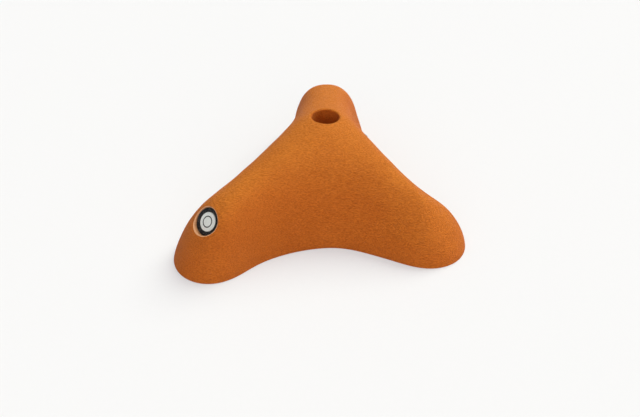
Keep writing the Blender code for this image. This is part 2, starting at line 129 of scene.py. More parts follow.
# Mounting bolt
BOLT_DIAMETER = 0.010
BOLT_LENGTH = 0.040
BOLT_PITCH = 0.0015
BOLT_THREAD_LENGTH = 0.032
BOLT_THREAD_DEPTH = 0.61 * BOLT_PITCH
BOLT_HEAD_DIAMETER = 0.016
BOLT_HEAD_HEIGHT = 0.010
BOLT_SOCKET_WIDTH = 0.008
BOLT_SOCKET_DEPTH = 0.005
BOLT_SOCKET_CONE = 0.0008
BOLT_SOCKET_BEVEL = 0.0006
BOLT_CHAMFER = 0.0010
BOLT_EDGE = 0.0003
BOLT_FILLET = 0.0004
KNURL_TEETH = 48
KNURL_DEPTH = 0.00022
KNURL_MARGIN = 0.0004
KNURL_RUN_OUT = 0.0003

# Anti-turn screw
SCREW_DIAMETER = 0.0050
SCREW_LENGTH = 0.0400
SCREW_PITCH = 0.0022
SCREW_THREAD_LENGTH = 0.0300
SCREW_THREAD_DEPTH = 0.0007
SCREW_HEAD_DIAMETER = 0.0100
SCREW_HEAD_RIM = 0.0006
SCREW_HEAD_EDGE = 0.0003
SCREW_NECK_FILLET = 0.0006
SCREW_POINT_LENGTH = 0.0060
SCREW_POINT_FULLNESS = 0.8
SCREW_SOCKET_RADIUS = 0.0019
SCREW_SOCKET_WAVE = 0.0003
SCREW_SOCKET_DEPTH = 0.0025
SCREW_SOCKET_BEVEL = 0.0004
STAR_POINTS = 6

# Washer and badge
WASHER_DIAMETER = 0.0210
WASHER_THICKNESS = 0.0020
WASHER_EDGE = 0.0002
BADGE_DIAMETER = 0.0175
BADGE_THICKNESS = 0.0024
BADGE_EDGE = 0.00035
BADGE_RECESS_EDGE = 0.00015
INLAY_DIAMETER = 0.0122
INLAY_THICKNESS = 0.0012
INLAY_CROWN = 0.00025
INLAY_EDGE = 0.00025
INLAY_RING_RADIUS = 0.0034
INLAY_RING_WIDTH = 0.0007
INLAY_RING_DEPTH = 0.0002

# Fineness of the surfaces. The thread margin is the step from a thread's rings to the ring next to them
TIP_STEPS = 6
SIDE_STEPS = 8
SECTION_ROWS = 7
SKIRT_DEPTH = 0.003
OUTSIDE_LEVELS = 3
HOLLOW_TIP_STEPS = 4
HOLLOW_SIDE_STEPS = 6
HOLLOW_ROWS = 5
HOLLOW_SKIRT_DEPTH = 0.005
HOLLOW_LEVELS = 2
RIM_STEPS = 6
ROUND_COLUMNS = 96
BOLT_COLUMNS = 3 * KNURL_TEETH
THREAD_STEPS = 10
THREAD_MARGIN = 0.0002
INLAY_RINGS = 40
INLAY_FIRST_RADIUS = 0.0003
WELD_DISTANCE = 1e-7

# Tools of the cuts reach this far beyond what they cut
BEYOND = 0.020

# The name under which the casting's mesh keeps its slope for its material, which paints a highlight where
# the surface faces up
SLOPE_ATTRIBUTE = "facing_up"

# Looks. Edges sharper than these angles stay sharp. The grain and the lathe marks are stretched noises, and
# the grain fades out at the sanded back. Tints multiply a colour: the low-spot and pit tints paint shade,
# the crest tint paints a highlight where the surface faces up, and the fleck tint is random tone. Wear has
# colours of its own
CASTING_SHARP_ANGLE = 40.0
FASTENER_SHARP_ANGLE = 35.0
BADGE_SHARP_ANGLE = 30.0
GRAIN_STRETCH = (0.44, 1.9, 1.9)
LATHE_STRETCH = (1.0, 1.0, 6.0)
NO_STRETCH = (1.0, 1.0, 1.0)
BACK_FADE_TOP = 0.00012
BACK_FADE_BOTTOM = 0.00003
NO_TINT = (1.0, 1.0, 1.0, 1.0)
FLECK_TINT = (0.80, 0.78, 0.76, 1.0)
LOW_SPOT_SHADE_TINT = (0.62, 0.50, 0.40, 1.0)
CREST_HIGHLIGHT_TINT = (1.03, 1.22, 1.30, 1.0)
PIT_SHADE_TINT = (0.55, 0.42, 0.32, 1.0)
SHEEN_TINT = (1.0, 0.72, 0.36, 1.0)
SCUFFED_METAL = (0.80, 0.80, 0.80, 1.0)
DUST = (0.40, 0.38, 0.35, 1.0)

# Stage. The floor lies a hair under the hold, and is left clear where the hold covers it
STAGE_REACH = 4.0
BACKDROP_BEND = 0.5
BACKDROP_HEIGHT = 0.8
FLOOR_GAP = 0.0001
COVER_MARGIN = 0.0010
SKY_COLOUR = (0.98, 0.99, 1.0, 1.0)
Lamp = namedtuple("Lamp", "name direction rise softness colour")
KEY_LAMP = Lamp("key_lamp", direction=45.0, rise=48.0, softness=40.0, colour=(1.0, 1.05, 0.93))
FILL_LAMP = Lamp("fill_lamp", direction=272.0, rise=22.0, softness=60.0, colour=(1.0, 0.99, 0.98))

# The photograph's camera, as laid over the outline of the hold
CAMERA_DISTANCE = 0.570
CAMERA_TARGET_HEIGHT = 0.019
CAMERA_AZIMUTH = 0.735
CAMERA_ELEVATION = 38.557
CAMERA_ROLL = 0.798
PIXELS_PER_METRE = 1461.0
PHOTO_WIDTH = 640.0
PHOTO_HEIGHT = 417.0
CENTRE_PIXEL = (326.09, 172.33)
SENSOR_WIDTH_MM = 36.0
NEAREST_SEEN = 0.01
FARTHEST_SEEN = 20.0


def middle_of(node):
    """The centre of a CAD node's box."""
    low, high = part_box(node)
    return (np.array(low) + np.array(high)) / 2


HUB = middle_of("bolt_washer") * (1, 1, 0)
SCREW_FOOT = middle_of("anti_turn_screw") * (1, 1, 0)
BOLT_TIP_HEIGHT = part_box("mounting_bolt")[0][2]
SCREW_TIP_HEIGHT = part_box("anti_turn_screw")[0][2]


def polar(length, direction):
    """Plan points at these distances from the hub and directions in degrees."""
    angle = np.radians(direction)
    return np.stack([length * np.cos(angle), length * np.sin(angle)], -1)


def ray(direction, rise):
    """The unit vector of a direction in plan and a rise above the back plane."""
    level = np.cos(np.radians(rise))
    return np.array([*polar(level, direction), np.sin(np.radians(rise))])


def badge_axis():
    """Unit vector that the badge's face looks along."""
    return ray(BADGE_AXIS_DIRECTION, BADGE_AXIS_RISE)


def badge_place():
    """A frame as a 4 by 4 matrix: its origin is the middle of the badge's face, and its Z looks out."""
    axis = badge_axis()
    across = np.cross((0.0, 0.0, 1.0), axis)
    across /= np.linalg.norm(across)
    place = np.eye(4)
    place[:3, :3] = np.stack([across, np.cross(axis, across), axis], 1)
    place[:3, 3] = middle_of("badge_carrier") + axis * BADGE_THICKNESS / 2
    return place


def upright_place(foot, height):
    """A frame as a 4 by 4 matrix that only moves its origin, to a height above a foot."""
    place = np.eye(4)
    place[:3, 3] = foot + (0, 0, height)
    return place


def moved(place, points):
    """Points given in a frame, in the model's own coordinates."""
    return points @ place[:3, :3].T + place[:3, 3]


def hollow_form(form, side_wall, top_wall):
    """The form inside a wall: end circles and heights shrink by the wall, and valley circles grow by it."""
    arms = tuple(arm._replace(end_radius=arm.end_radius - side_wall,
                              ridge_end_height=arm.ridge_end_height - top_wall)
                 for arm in form.arms)
    return Form(arms, tuple(radius + side_wall for radius in form.valley_radii), form.hub_height - top_wall)


def valley_centre(first, second, valley_radius):
    """Centre of the circle that touches two neighbouring end circles from outside, away from the hub."""
    start = polar(first.reach, first.direction)
    span = polar(second.reach, second.direction) - start
    length = np.linalg.norm(span)
    along = span / length
    first_radius = first.end_radius + valley_radius
    second_radius = second.end_radius + valley_radius
    foot = (length ** 2 + first_radius ** 2 - second_radius ** 2) / (2 * length)
    return start + along * foot + np.array([along[1], -along[0]]) * np.sqrt(first_radius ** 2 - foot ** 2)


def valley_centres(form):
    """Centres of the valley circles. Each valley lies between an arm and the next one."""
    following = (*form.arms[1:], form.arms[0])
    return [valley_centre(*valley) for valley in zip(form.arms, following, form.valley_radii)]


def bearing(start, finish):
    """The direction from one plan point to another, in radians."""
    return np.arctan2(finish[1] - start[1], finish[0] - start[0])


def arc(centre, radius, start, finish, steps):
    """Cage points along an arc. They stand off it so that the smoothed outline has the radius asked for."""
    step = (finish - start) / steps
    angle = start + step * np.arange(steps + 1)
    cage_radius = 3 * radius / (2 + np.cos(step))
    return centre + cage_radius * np.stack([np.cos(angle), np.sin(angle)], -1)


def outline(form, tip_steps, side_steps):
    """The plan outline, counterclockwise, as arrays over its columns.

    Each column has its plan point, the number of the arm it climbs to, and a count of steps from the hub to
    where it meets that arm's ridge. A turn round an end circle is followed by the arc of the next valley.
    """
    half = side_steps // 2
    count = len(form.arms)
    centres = [polar(arm.reach, arm.direction) for arm in form.arms]
    valleys = valley_centres(form)
    points, owners, steps = [], [], []
    for k, arm in enumerate(form.arms):
        follower = (k + 1) % count
        start = bearing(centres[k], valleys[k - 1])
        finish = start + (bearing(centres[k], valleys[k]) - start) % TURN
        points.append(arc(centres[k], arm.end_radius, start, finish, tip_steps))
        owners.append(np.full(tip_steps + 1, k))
        steps.append(np.full(tip_steps + 1, half))
        start = bearing(valleys[k], centres[k])
        finish = start - (start - bearing(valleys[k], centres[follower])) % TURN
        index = np.arange(1, side_steps)
        points.append(arc(valleys[k], form.valley_radii[k], start, finish, side_steps)[1:-1])
        owners.append(np.where(index <= half, k, follower))
        steps.append(np.abs(half - index))
    return np.concatenate(points), np.concatenate(owners), np.concatenate(steps), half


def values_of(form, field):
    """One field of all arms, as an array."""
    return np.array([getattr(arm, field) for arm in form.arms])


def blended(form, field, owner, share):
    """An arm's value of this field, eased towards the mean of the arms as the column nears the hub."""
    own = values_of(form, field)
    return own.mean() + (own[owner] - own.mean()) * share


def dome_surface(form, tip_steps, side_steps, rows, skirt_depth):
    """Cage of the form as points and faces, open at the foot of an upright skirt.

    Down one parameter run the columns of the outline. Along the other, each column climbs a quarter of a
    superellipse from the outline to the ridge, while its height follows the crest, which falls as a power
    of the distance along the ridge. Columns that meet the ridge in one place share their last point.
    """
    plan, owner, step, half = outline(form, tip_steps, side_steps)
    share = step / half
    ridge_reach = values_of(form, "ridge_reach")[owner]
    ridge = polar(ridge_reach, values_of(form, "ridge_direction")[owner])
    end_height = values_of(form, "ridge_end_height")[owner]
    power = values_of(form, "ridge_power")[owner]
    turn = np.linspace(0.0, np.pi / 2, rows)
    level = np.maximum(np.cos(turn), 0.0)
    inward = 1 - level ** (2 / blended(form, "plan_fullness", owner, share))[:, None]
    rise = np.sin(turn) ** (2 / blended(form, "crown_fullness", owner, share))[:, None]
    foot = ridge * share[:, None]
    place = plan[:, None] + (foot - plan)[:, None] * inward[:, :, None]
    along = np.einsum("crk,ck->cr", place, ridge) / ridge_reach[:, None] ** 2
    outwards = np.maximum(share[:, None] + (along - share[:, None]) * share[:, None] ** 2, 0.0)
    crest = form.hub_height + (end_height - form.hub_height)[:, None] * outwards ** power[:, None]
    climb = np.concatenate([place, (crest * rise)[:, :, None]], 2)
    skirt = np.concatenate([plan, np.full((len(plan), 1), -skirt_depth)], 1)[:, None]
    columns = np.concatenate([skirt, climb], 1)
    meeting = np.where(step == 0, -1, owner * (half + 1) + step)
    _, first, shared = np.unique(meeting, return_index=True, return_inverse=True)
    flank = columns[:, :-1]
    points = np.concatenate([flank.reshape(-1, 3), columns[first, -1]])
    ids = np.arange(flank.shape[0] * flank.shape[1]).reshape(flank.shape[:2])
    ids = np.concatenate([ids, (ids.size + shared.reshape(-1))[:, None]], 1)
    after = np.roll(ids, -1, 0)
    quads = np.stack([ids[:, :-1], after[:, :-1], after[:, 1:], ids[:, 1:]], -1)
    top = quads[:, -1]
    joined = top[:, 2] == top[:, 3]
    return points, [quads[:, :-1].reshape(-1, 4), top[~joined], top[joined][:, :3]]


def ring_faces(rings, columns):
    """Quads between neighbouring rings of points, each ring closed on itself."""
    here = np.arange(columns)
    after = np.roll(here, -1)
    start = np.arange(rings - 1)[:, None] * columns
    return np.stack([start + here, start + columns + here, start + columns + after, start + after],
                    -1).reshape(-1, 4)


def fan_faces(ring_start, columns, pole, upwards):
    """Triangles from one ring to a pole point."""
    here = ring_start + np.arange(columns)
    after = np.roll(here, -1)
    tip = np.full(columns, pole)
    return np.stack([here, after, tip] if upwards else [after, here, tip], -1)


def angles(columns):
    """The angle of each column round a ring, in radians."""
    return TURN * np.arange(columns) / columns


def ring_points(radius, height, columns):
    """Rings of points about Z, from one radius and height for each ring, or for each point of a ring."""
    radius = np.stack([np.broadcast_to(value, columns) for value in radius])
    height = np.stack([np.broadcast_to(value, columns) for value in height])
    angle = angles(columns)
    return np.stack([radius * np.cos(angle), radius * np.sin(angle), height], -1)


def turned_surface(rings, columns):
    """A closed solid about Z from a list of (radius, height), from a pole on top to a pole below.

    The poles are level with the first and last rings.
    """
    rings = ring_points(*zip(*rings), columns)
    poles = np.array([[0.0, 0.0, ring[:, 2].mean()] for ring in (rings[0], rings[-1])])
    points = np.concatenate([rings.reshape(-1, 3), poles])
    last = (len(rings) - 1) * columns
    return points, [ring_faces(len(rings), columns), fan_faces(0, columns, last + columns, True),
                    fan_faces(last, columns, last + columns + 1, False)]


def new_mesh(name, points, faces):
    """A mesh from an array of points and arrays of faces."""
    mesh = bpy.data.meshes.new(name)
    mesh.from_pydata(points.tolist(), [], [corners for block in faces for corners in block.tolist()])
    mesh.update()
    return mesh


def new_object(name, data):
    """An object in the scene's own collection."""
    item = bpy.data.objects.new(name, data)
    bpy.context.scene.collection.objects.link(item)
    return item


def editable(mesh):
    """A bmesh with what a mesh holds."""
    shape = bmesh.new()
    shape.from_mesh(mesh)
    return shape


def write_back(shape, mesh):
    """Turn a bmesh's faces outwards and put it into a mesh."""
    bmesh.ops.recalc_face_normals(shape, faces=shape.faces)
    shape.to_mesh(mesh)
    shape.free()


def new_solid(name, points, faces):
    """An object from arrays, with its faces turned outwards."""
    mesh = new_mesh(name, points, faces)
    write_back(editable(mesh), mesh)
    return new_object(name, mesh)


def settle(item):
    """Bake an object's modifiers into its mesh."""
    bpy.context.view_layer.update()
    graph = bpy.context.evaluated_depsgraph_get()
    settled = bpy.data.meshes.new_from_object(item.evaluated_get(graph))
    item.modifiers.clear()
    item.data = settled


def subtract(item, cutter, slot=0):
    """Take the cutter's room out of an object. The faces that this makes get a slot number."""
    for mesh in (item.data, cutter.data):
        while len(mesh.materials) < 2:
            mesh.materials.append(None)
    numbers = np.full(len(cutter.data.polygons), slot, dtype=np.int32)
    cutter.data.polygons.foreach_set("material_index", numbers)
    modifier = item.modifiers.new("cut", "BOOLEAN")
    modifier.operation = "DIFFERENCE"
    modifier.solver = "MANIFOLD"
    modifier.material_mode = "INDEX"
    modifier.object = cutter
    settle(item)
    bpy.data.objects.remove(cutter)


def smoothed_dome(name, surface, levels):
    """A solid from a cage round the hub: the cage is subdivided and its open foot closed."""
    points, faces = surface
    dome = new_object(name, new_mesh(name, points + HUB, faces))
    smoothing = dome.modifiers.new("smoothing", "SUBSURF")
    smoothing.levels = levels
    smoothing.render_levels = levels
    settle(dome)
    close_openings(dome)
    return dome


def close_openings(item):
    """Put one face in each open loop of a mesh, and turn all faces outwards."""
    shape = editable(item.data)
    bmesh.ops.holes_fill(shape, edges=[edge for edge in shape.edges if edge.is_boundary], sides=0)
    write_back(shape, item.data)


def vectors_of(item, field):
    """The positions (co) or the normals (normal) of a mesh's points, as an array."""
    values = np.empty(len(item.data.vertices) * 3)
    item.data.vertices.foreach_get(field, values)
    return values.reshape(-1, 3)


def move_along_normals(item, rule):
    """Move each point of a mesh along its normal, by what the rule makes of the array of points."""
    points = vectors_of(item, "co")
    points += vectors_of(item, "normal") * rule(points)[:, None]
    item.data.vertices.foreach_set("co", points.reshape(-1))
    item.data.update()


def waves(points):
    """A sum of slow plane waves, which only go inwards and fade out at the foot, less the inset."""
    rise = np.zeros(len(points))
    for wave in WAVES:
        along = points[:, :2] @ polar(1.0, wave.direction) + WAVE_LEAN_ALONG * points[:, 2]
        across = points[:, :2] @ polar(1.0, wave.direction + 90.0) + WAVE_LEAN_ACROSS * points[:, 2]
        height = (np.sin(TURN * along / wave.length + wave.phase)
                  * np.cos(TURN * across / (WAVE_CROSS_LENGTH * wave.length) - wave.phase))
        rise += wave.depth * (height - 1)
    return rise * np.clip(points[:, 2] / WAVES_FADE_HEIGHT, 0.0, 1.0) - SKIN_INSET


def middle_of_swelling(swelling):
    """The point that a swelling's bell stands round."""
    return HUB + (*polar(swelling.reach, swelling.direction), swelling.level)


def swell(points):
    """A sum of bells: each is the cube of one less the squared distance from its middle, in its widths."""
    rise = np.zeros(len(points))
    for swelling in SWELLINGS:
        away = (points - middle_of_swelling(swelling)) / (swelling.width, swelling.width, swelling.height)
        rise += swelling.depth * np.clip(1 - (away ** 2).sum(1), 0.0, 1.0) ** 3
    return rise


def keep_slope(item):
    """Keep in an attribute how far each point of a surface faces upwards: 1 for level and 0 for upright."""
    slope = item.data.attributes.new(SLOPE_ATTRIBUTE, "FLOAT", "POINT")
    slope.data.foreach_set("value", vectors_of(item, "normal")[:, 2])


def open_loop(shape, middle, axis):
    """Points and normals round an open loop of a bmesh, in order of their angle about an axis."""
    shape.normal_update()
    edges = [edge for edge in shape.edges if edge.is_boundary]
    corners = list(dict.fromkeys(corner for edge in edges for corner in edge.verts))
    points = np.array([corner.co for corner in corners])
    normals = np.array([corner.normal for corner in corners])
    side = np.cross((0.0, 1.0, 0.0) if abs(axis[1]) < 0.9 else (1.0, 0.0, 0.0), axis)
    side /= np.linalg.norm(side)
    spokes = points - middle
    order = np.argsort(np.arctan2(spokes @ np.cross(axis, side), spokes @ side))
    return points[order], normals[order]


def soft_corner(start, corner, finish):
    """Rings from start to finish that round off a corner: a quadratic curve with the corner as handle."""
    share = np.linspace(0.0, 1.0, RIM_STEPS + 1)[:, None, None]
    return (1 - share) ** 2 * start + 2 * share * (1 - share) * corner + share ** 2 * finish


def weld_rings(item, shape, rings, pole=None):
    """Join rings of points to the open loop that the first of them lies on, and to a pole if any."""
    rows, columns = rings.shape[:2]
    points = rings.reshape(-1, 3)
    faces = [ring_faces(rows, columns)]
    if pole is not None:
        points = np.concatenate([points, pole[None]])
        faces.append(fan_faces((rows - 1) * columns, columns, rows * columns, False))
    shape.from_mesh(new_mesh("rings", points, faces))
    bmesh.ops.remove_doubles(shape, verts=shape.verts, dist=WELD_DISTANCE)
    write_back(shape, item.data)


def sink_pocket(item, place, radius, lip, plug_depth, profile):
    """Sink a round pocket with a soft rim into a solid.

    A plug as wide as the rim is cut out. From the loop that it leaves, each section goes on along the
    surface's own slope to the pocket's wall and turns down it in a soft corner. profile lists the (radius,
    depth) of the wall's foot, of any steps and of the floor's edge, in the frame of place.
    """
    plug, faces = turned_surface([(radius + lip, BEYOND), (radius + lip, -plug_depth)], ROUND_COLUMNS)
    subtract(item, new_solid("plug", moved(place, plug), faces), 1)
    shape = editable(item.data)
    plug_faces = [face for face in shape.faces if face.material_index == 1]
    bmesh.ops.delete(shape, geom=plug_faces, context="FACES")
    axis = place[:3, 2]
    middle = place[:3, 3]
    loop, normals = open_loop(shape, middle, axis)
    rise = (loop - middle) @ axis
    spokes = loop - middle - rise[:, None] * axis
    width = np.linalg.norm(spokes, axis=1)
    spokes /= width[:, None]
    slope = -np.einsum("ij,ij->i", normals, spokes) / (normals @ axis)
    edge_rise = rise - slope * (width - radius)

    def at(reach, height):
        """The point of each spoke at a distance from the pocket's axis and a height along it."""
        return middle + spokes * reach + np.reshape(height, (-1, 1)) * axis

    rim = soft_corner(loop, at(radius, edge_rise), at(radius, edge_rise - lip))
    floor_radius, floor = profile[-1]
    inner = [(floor_radius * share, floor) for share in (0.7, 0.4)]
    wall = np.stack([at(*ring) for ring in (*profile, *inner)])
    weld_rings(item, shape, np.concatenate([rim, wall]), middle + floor * axis)


def round_foot(item, radius):
    """Round the edge between a dome's flank and the back plane.

    The dome is cut level a little above the rounding. From the loop that this leaves, the flank's own line
    goes on to the back plane, where a soft corner turns it inwards.
    """
    level = FOOT_CUT_RATIO * radius
    upwards = np.array([0.0, 0.0, 1.0])
    shape = editable(item.data)
    bmesh.ops.bisect_plane(shape, geom=[*shape.verts, *shape.edges, *shape.faces], plane_co=upwards * level,
                           plane_no=upwards, clear_inner=True)
    loop, normals = open_loop(shape, HUB, upwards)
    plan = normals * (1, 1, 0)
    steep = np.linalg.norm(plan, axis=1)
    outwards = plan / steep[:, None]
    corner = loop + outwards * (level * normals[:, 2] / steep)[:, None]
    corner[:, 2] = 0.0
    weld_rings(item, shape, soft_corner(loop, corner, corner - outwards * radius))
    close_openings(item)


def bar_surface(start, finish, direction, width_below, width_above, bottom, top):
    """A straight bar from the hub outwards, whose width changes from its bottom to its top."""
    along = polar(1.0, direction)
    across = np.array([-along[1], along[0]])
    ends = np.array([start, finish, finish, start])
    sides = np.array([-0.5, -0.5, 0.5, 0.5])
    rings = [np.concatenate([ends[:, None] * along + (sides * width)[:, None] * across,
                             np.full((4, 1), height)], 1)
             for width, height in ((width_below, bottom), (width_above, top))]
    quads = np.array([[0, 1, 2, 3], [4, 5, 6, 7], [0, 1, 5, 4], [1, 2, 6, 5], [2, 3, 7, 6], [3, 0, 4, 7]])
    return np.concatenate(rings) + HUB, [quads]


def hollow_cutter():
    """The room of the hollow back: a smaller dome less the ribs and bosses, with soft corners everywhere.

    The soft corners come from a voxel remesh, whose steps are then smoothed out.
    """
    form = hollow_form(OUTSIDE, SIDE_WALL, TOP_WALL)
    cage = dome_surface(form, HOLLOW_TIP_STEPS, HOLLOW_SIDE_STEPS, HOLLOW_ROWS, HOLLOW_SKIRT_DEPTH)
    hollow = smoothed_dome("hollow", cage, HOLLOW_LEVELS)
    top = OUTSIDE.hub_height
    width_at_top = RIB_WIDTH_AT_BACK + 2 * (top - RIB_SETBACK) * np.sin(np.radians(RIB_DRAFT))
    for arm, valley, radius in zip(OUTSIDE.arms, valley_centres(OUTSIDE), OUTSIDE.valley_radii):
        for direction, length in ((arm.direction, arm.reach + arm.end_radius),
                                  (np.degrees(bearing((0, 0), valley)), np.linalg.norm(valley) - radius)):
            bar = bar_surface(BOLT_BOSS_RADIUS / 2, length, direction, RIB_WIDTH_AT_BACK, width_at_top,
                              RIB_SETBACK, top)
            subtract(hollow, new_solid("rib", *bar))
    growth = (top + BEYOND) * np.sin(np.radians(BOSS_DRAFT))
    for radius, foot in ((BOLT_BOSS_RADIUS, HUB), (SCREW_BOSS_RADIUS, SCREW_FOOT)):
        points, faces = turned_surface([(radius + growth, top), (radius, -BEYOND)], ROUND_COLUMNS)
        subtract(hollow, new_solid("boss", points + foot, faces))
    remesh = hollow.modifiers.new("soft corners", "REMESH")
    remesh.mode = "VOXEL"
    remesh.voxel_size = HOLLOW_VOXEL
    smooth = hollow.modifiers.new("smoothing", "SMOOTH")
    smooth.iterations = HOLLOW_SMOOTHING_ROUNDS
    settle(hollow)
    return hollow


def hole_cutter(radius, foot, top):
    """The room of a through hole with a chamfer at the back."""
    wide = radius + HOLE_CHAMFER
    points, faces = turned_surface([(radius, top), (radius, HOLE_CHAMFER), (wide, 0.0), (wide, -BEYOND)],
                                   ROUND_COLUMNS)
    return new_solid("hole", points + foot, faces)


def sink_counterbore(casting, rounding):
    """Sink the bolt's counterbore, which ends in the groove that holds the washer."""
    place = upright_place(HUB, OUTSIDE.hub_height)
    groove = WASHER_DIAMETER / 2 + SEAT_GAP
    top = WASHER_SEAT_HEIGHT + SEAT_GAP - OUTSIDE.hub_height
    bottom = WASHER_SEAT_HEIGHT - WASHER_THICKNESS - SEAT_GAP - OUTSIDE.hub_height
    profile = [(COUNTERBORE_RADIUS, top), (groove, top), (groove, bottom)]
    sink_pocket(casting, place, COUNTERBORE_RADIUS, rounding, COUNTERBORE_PLUG_DEPTH, profile)


def sink_screw_pocket(casting):
    """Sink the screw's pocket, which ends in a countersunk seat."""
    place = upright_place(SCREW_FOOT, OUTSIDE.hub_height)
    seat = SCREW_SEAT_HEIGHT - OUTSIDE.hub_height
    ledge = SCREW_HOLE_RADIUS + SCREW_LEDGE
    profile = [(SCREW_POCKET_RADIUS, seat), (ledge, seat - SCREW_POCKET_RADIUS + ledge)]
    sink_pocket(casting, place, SCREW_POCKET_RADIUS, SCREW_POCKET_LIP, SCREW_PLUG_DEPTH, profile)


def sink_badge_pocket(casting, rounding):
    """Sink the shallow pocket that the badge sits in."""
    pocket = BADGE_DIAMETER / 2 + SEAT_GAP
    floor = -BADGE_THICKNESS - SEAT_GAP
    profile = [(pocket, floor + BADGE_POCKET_FILLET), (pocket - BADGE_POCKET_FILLET, floor)]
    sink_pocket(casting, badge_place(), pocket, rounding, BADGE_PLUG_DEPTH, profile)


def dress(item, body, nodes, materials, sharp_angle):
    """Finish a piece: its materials, soft shading up to an edge angle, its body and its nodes."""
    while len(item.data.materials) < len(materials):
        item.data.materials.append(None)
    for index, material in enumerate(materials):
        item.data.materials[index] = material
    item.data.shade_smooth()
    item.data.set_sharp_from_angle(angle=np.radians(sharp_angle))
    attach(item, body)
    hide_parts(*nodes)


def thread(height, columns, pitch, depth):
    """How far a right-hand thread cuts in, for each height and each column.

    The cut is a wave with flat crests: its phase is the height in pitches less the angle in turns. It eases
    in and out over one pitch at both ends of the stretch.
    """
    turns = np.arange(columns) / columns
    phase = (height[:, None] / pitch - turns) % 1.0
    groove = np.clip(1.15 - 1.3 * np.abs(2 * phase - 1), 0.0, 1.0)
    ease = np.clip(np.minimum(height - height.min(), height.max() - height) / pitch, 0.0, 1.0)
    return depth * groove * ease[:, None]


def hexagon(width, columns):
    """Radius of a hexagon, this wide across its flats, at each column's angle."""
    return width / 2 / np.cos((angles(columns) + np.pi / 6) % (np.pi / 3) - np.pi / 6)


def bolt_head():
    """Rings of the bolt from the bottom of its key socket over the knurled head to the shank."""
    shank = BOLT_DIAMETER / 2
    head = BOLT_HEAD_DIAMETER / 2
    top = BOLT_LENGTH + BOLT_HEAD_HEIGHT
    floor = top - BOLT_SOCKET_DEPTH
    socket = hexagon(BOLT_SOCKET_WIDTH, BOLT_COLUMNS)
    knurled = head - KNURL_DEPTH * (0.5 + 0.5 * np.cos(KNURL_TEETH * angles(BOLT_COLUMNS)))
    rim = top - BOLT_CHAMFER
    soft = BOLT_CHAMFER / 10
    return [(socket * 0.2, floor - BOLT_SOCKET_CONE), (socket * 0.97, floor), (socket, floor + soft),
            (socket, top - BOLT_SOCKET_BEVEL), (socket.max() * 1.03, top), (head - BOLT_CHAMFER, top),
            (head - BOLT_CHAMFER * 0.7, top - soft), (head - soft, top - BOLT_CHAMFER * 0.7), (head, rim),
            (head, rim - KNURL_MARGIN), (knurled, rim - KNURL_MARGIN - KNURL_RUN_OUT),
            (knurled, BOLT_LENGTH + 3 * KNURL_MARGIN), (head, BOLT_LENGTH + 2 * KNURL_MARGIN),
            (head, BOLT_LENGTH + BOLT_EDGE), (head - BOLT_EDGE, BOLT_LENGTH),
            (shank + BOLT_FILLET, BOLT_LENGTH), (shank, BOLT_LENGTH - BOLT_FILLET)]


def bolt_surface():
    """Socket-head bolt, ring by ring from its key socket over the head and down the thread to its tip."""
    shank = BOLT_DIAMETER / 2
    height = np.arange(BOLT_THREAD_LENGTH, BOLT_CHAMFER * 0.8, -BOLT_PITCH / THREAD_STEPS)
    cut = thread(height, BOLT_COLUMNS, BOLT_PITCH, BOLT_THREAD_DEPTH)
    rings = [*bolt_head(), (shank, BOLT_THREAD_LENGTH + THREAD_MARGIN), *zip(shank - cut, height),
             (shank - BOLT_CHAMFER, 0.0), (shank * 0.4, 0.0)]
    return turned_surface(rings, BOLT_COLUMNS)


def screw_surface():
    """Countersunk panel screw, ring by ring from the bottom of its star socket to its point."""
    shank = SCREW_DIAMETER / 2
    head = SCREW_HEAD_DIAMETER / 2
    top = SCREW_LENGTH
    floor = top - SCREW_SOCKET_DEPTH
    star = SCREW_SOCKET_RADIUS + SCREW_SOCKET_WAVE * np.cos(STAR_POINTS * angles(ROUND_COLUMNS))
    mouth = SCREW_SOCKET_RADIUS + SCREW_SOCKET_WAVE * 1.3
    under_rim = top - SCREW_HEAD_RIM
    neck = under_rim - (head - shank)
    edge = SCREW_HEAD_EDGE
    fillet = SCREW_NECK_FILLET
    rings = [(star * 0.2, floor - edge), (star, floor), (star, top - SCREW_SOCKET_BEVEL), (mouth, top),
             (head - edge, top), (head - edge / 3, top - edge / 3), (head, top - edge), (head, under_rim),
             (head - edge * 2 / 3, under_rim - edge), (shank + fillet, neck + fillet),
             (shank, neck - fillet * 2 / 3)]
    height = np.arange(SCREW_THREAD_LENGTH, THREAD_MARGIN, -SCREW_PITCH / THREAD_STEPS)
    outside = shank * np.clip(height / SCREW_POINT_LENGTH, 0.0, 1.0) ** SCREW_POINT_FULLNESS
    depth = thread(height, ROUND_COLUMNS, SCREW_PITCH, SCREW_THREAD_DEPTH / shank)
    return turned_surface([*rings, *zip(outside[:, None] * (1 - depth), height), (shank * 0.02, 0.0)],
                          ROUND_COLUMNS)


def washer_surface():
    """Flat washer with softened edges, as a ring of rings: bore, lower face, rim, upper face."""
    outer = WASHER_DIAMETER / 2
    inner = BOLT_HOLE_RADIUS
    top = WASHER_SEAT_HEIGHT
    bottom = top - WASHER_THICKNESS
    soft = WASHER_EDGE
    radius = [inner, inner, inner + soft, outer - soft, outer, outer, outer - soft, inner + soft]
    height = [top - soft, bottom + soft, bottom, bottom, bottom + soft, top - soft, top, top]
    rings = ring_points(radius, height, ROUND_COLUMNS)
    ids = np.arange(rings.size // 3).reshape(rings.shape[:2])
    below = np.roll(ids, -1, 0)
    faces = np.stack([ids, below, np.roll(below, -1, 1), np.roll(ids, -1, 1)], -1)
    return rings.reshape(-1, 3), [faces.reshape(-1, 4)]


def round_edge(outer, soft, start, steps):
    """Rings round the upper edge of a disc, from an angle in degrees to upright."""
    angle = np.radians(np.linspace(start, 90.0, steps))
    return list(zip(outer - soft + soft * np.sin(angle), -soft + soft * np.cos(angle)))


def disc_underside(outer, soft, thickness):
    """Rings of the lower edge and the underside of a disc."""
    return [(outer, -thickness + soft), (outer - soft, -thickness), (outer * 0.5, -thickness)]


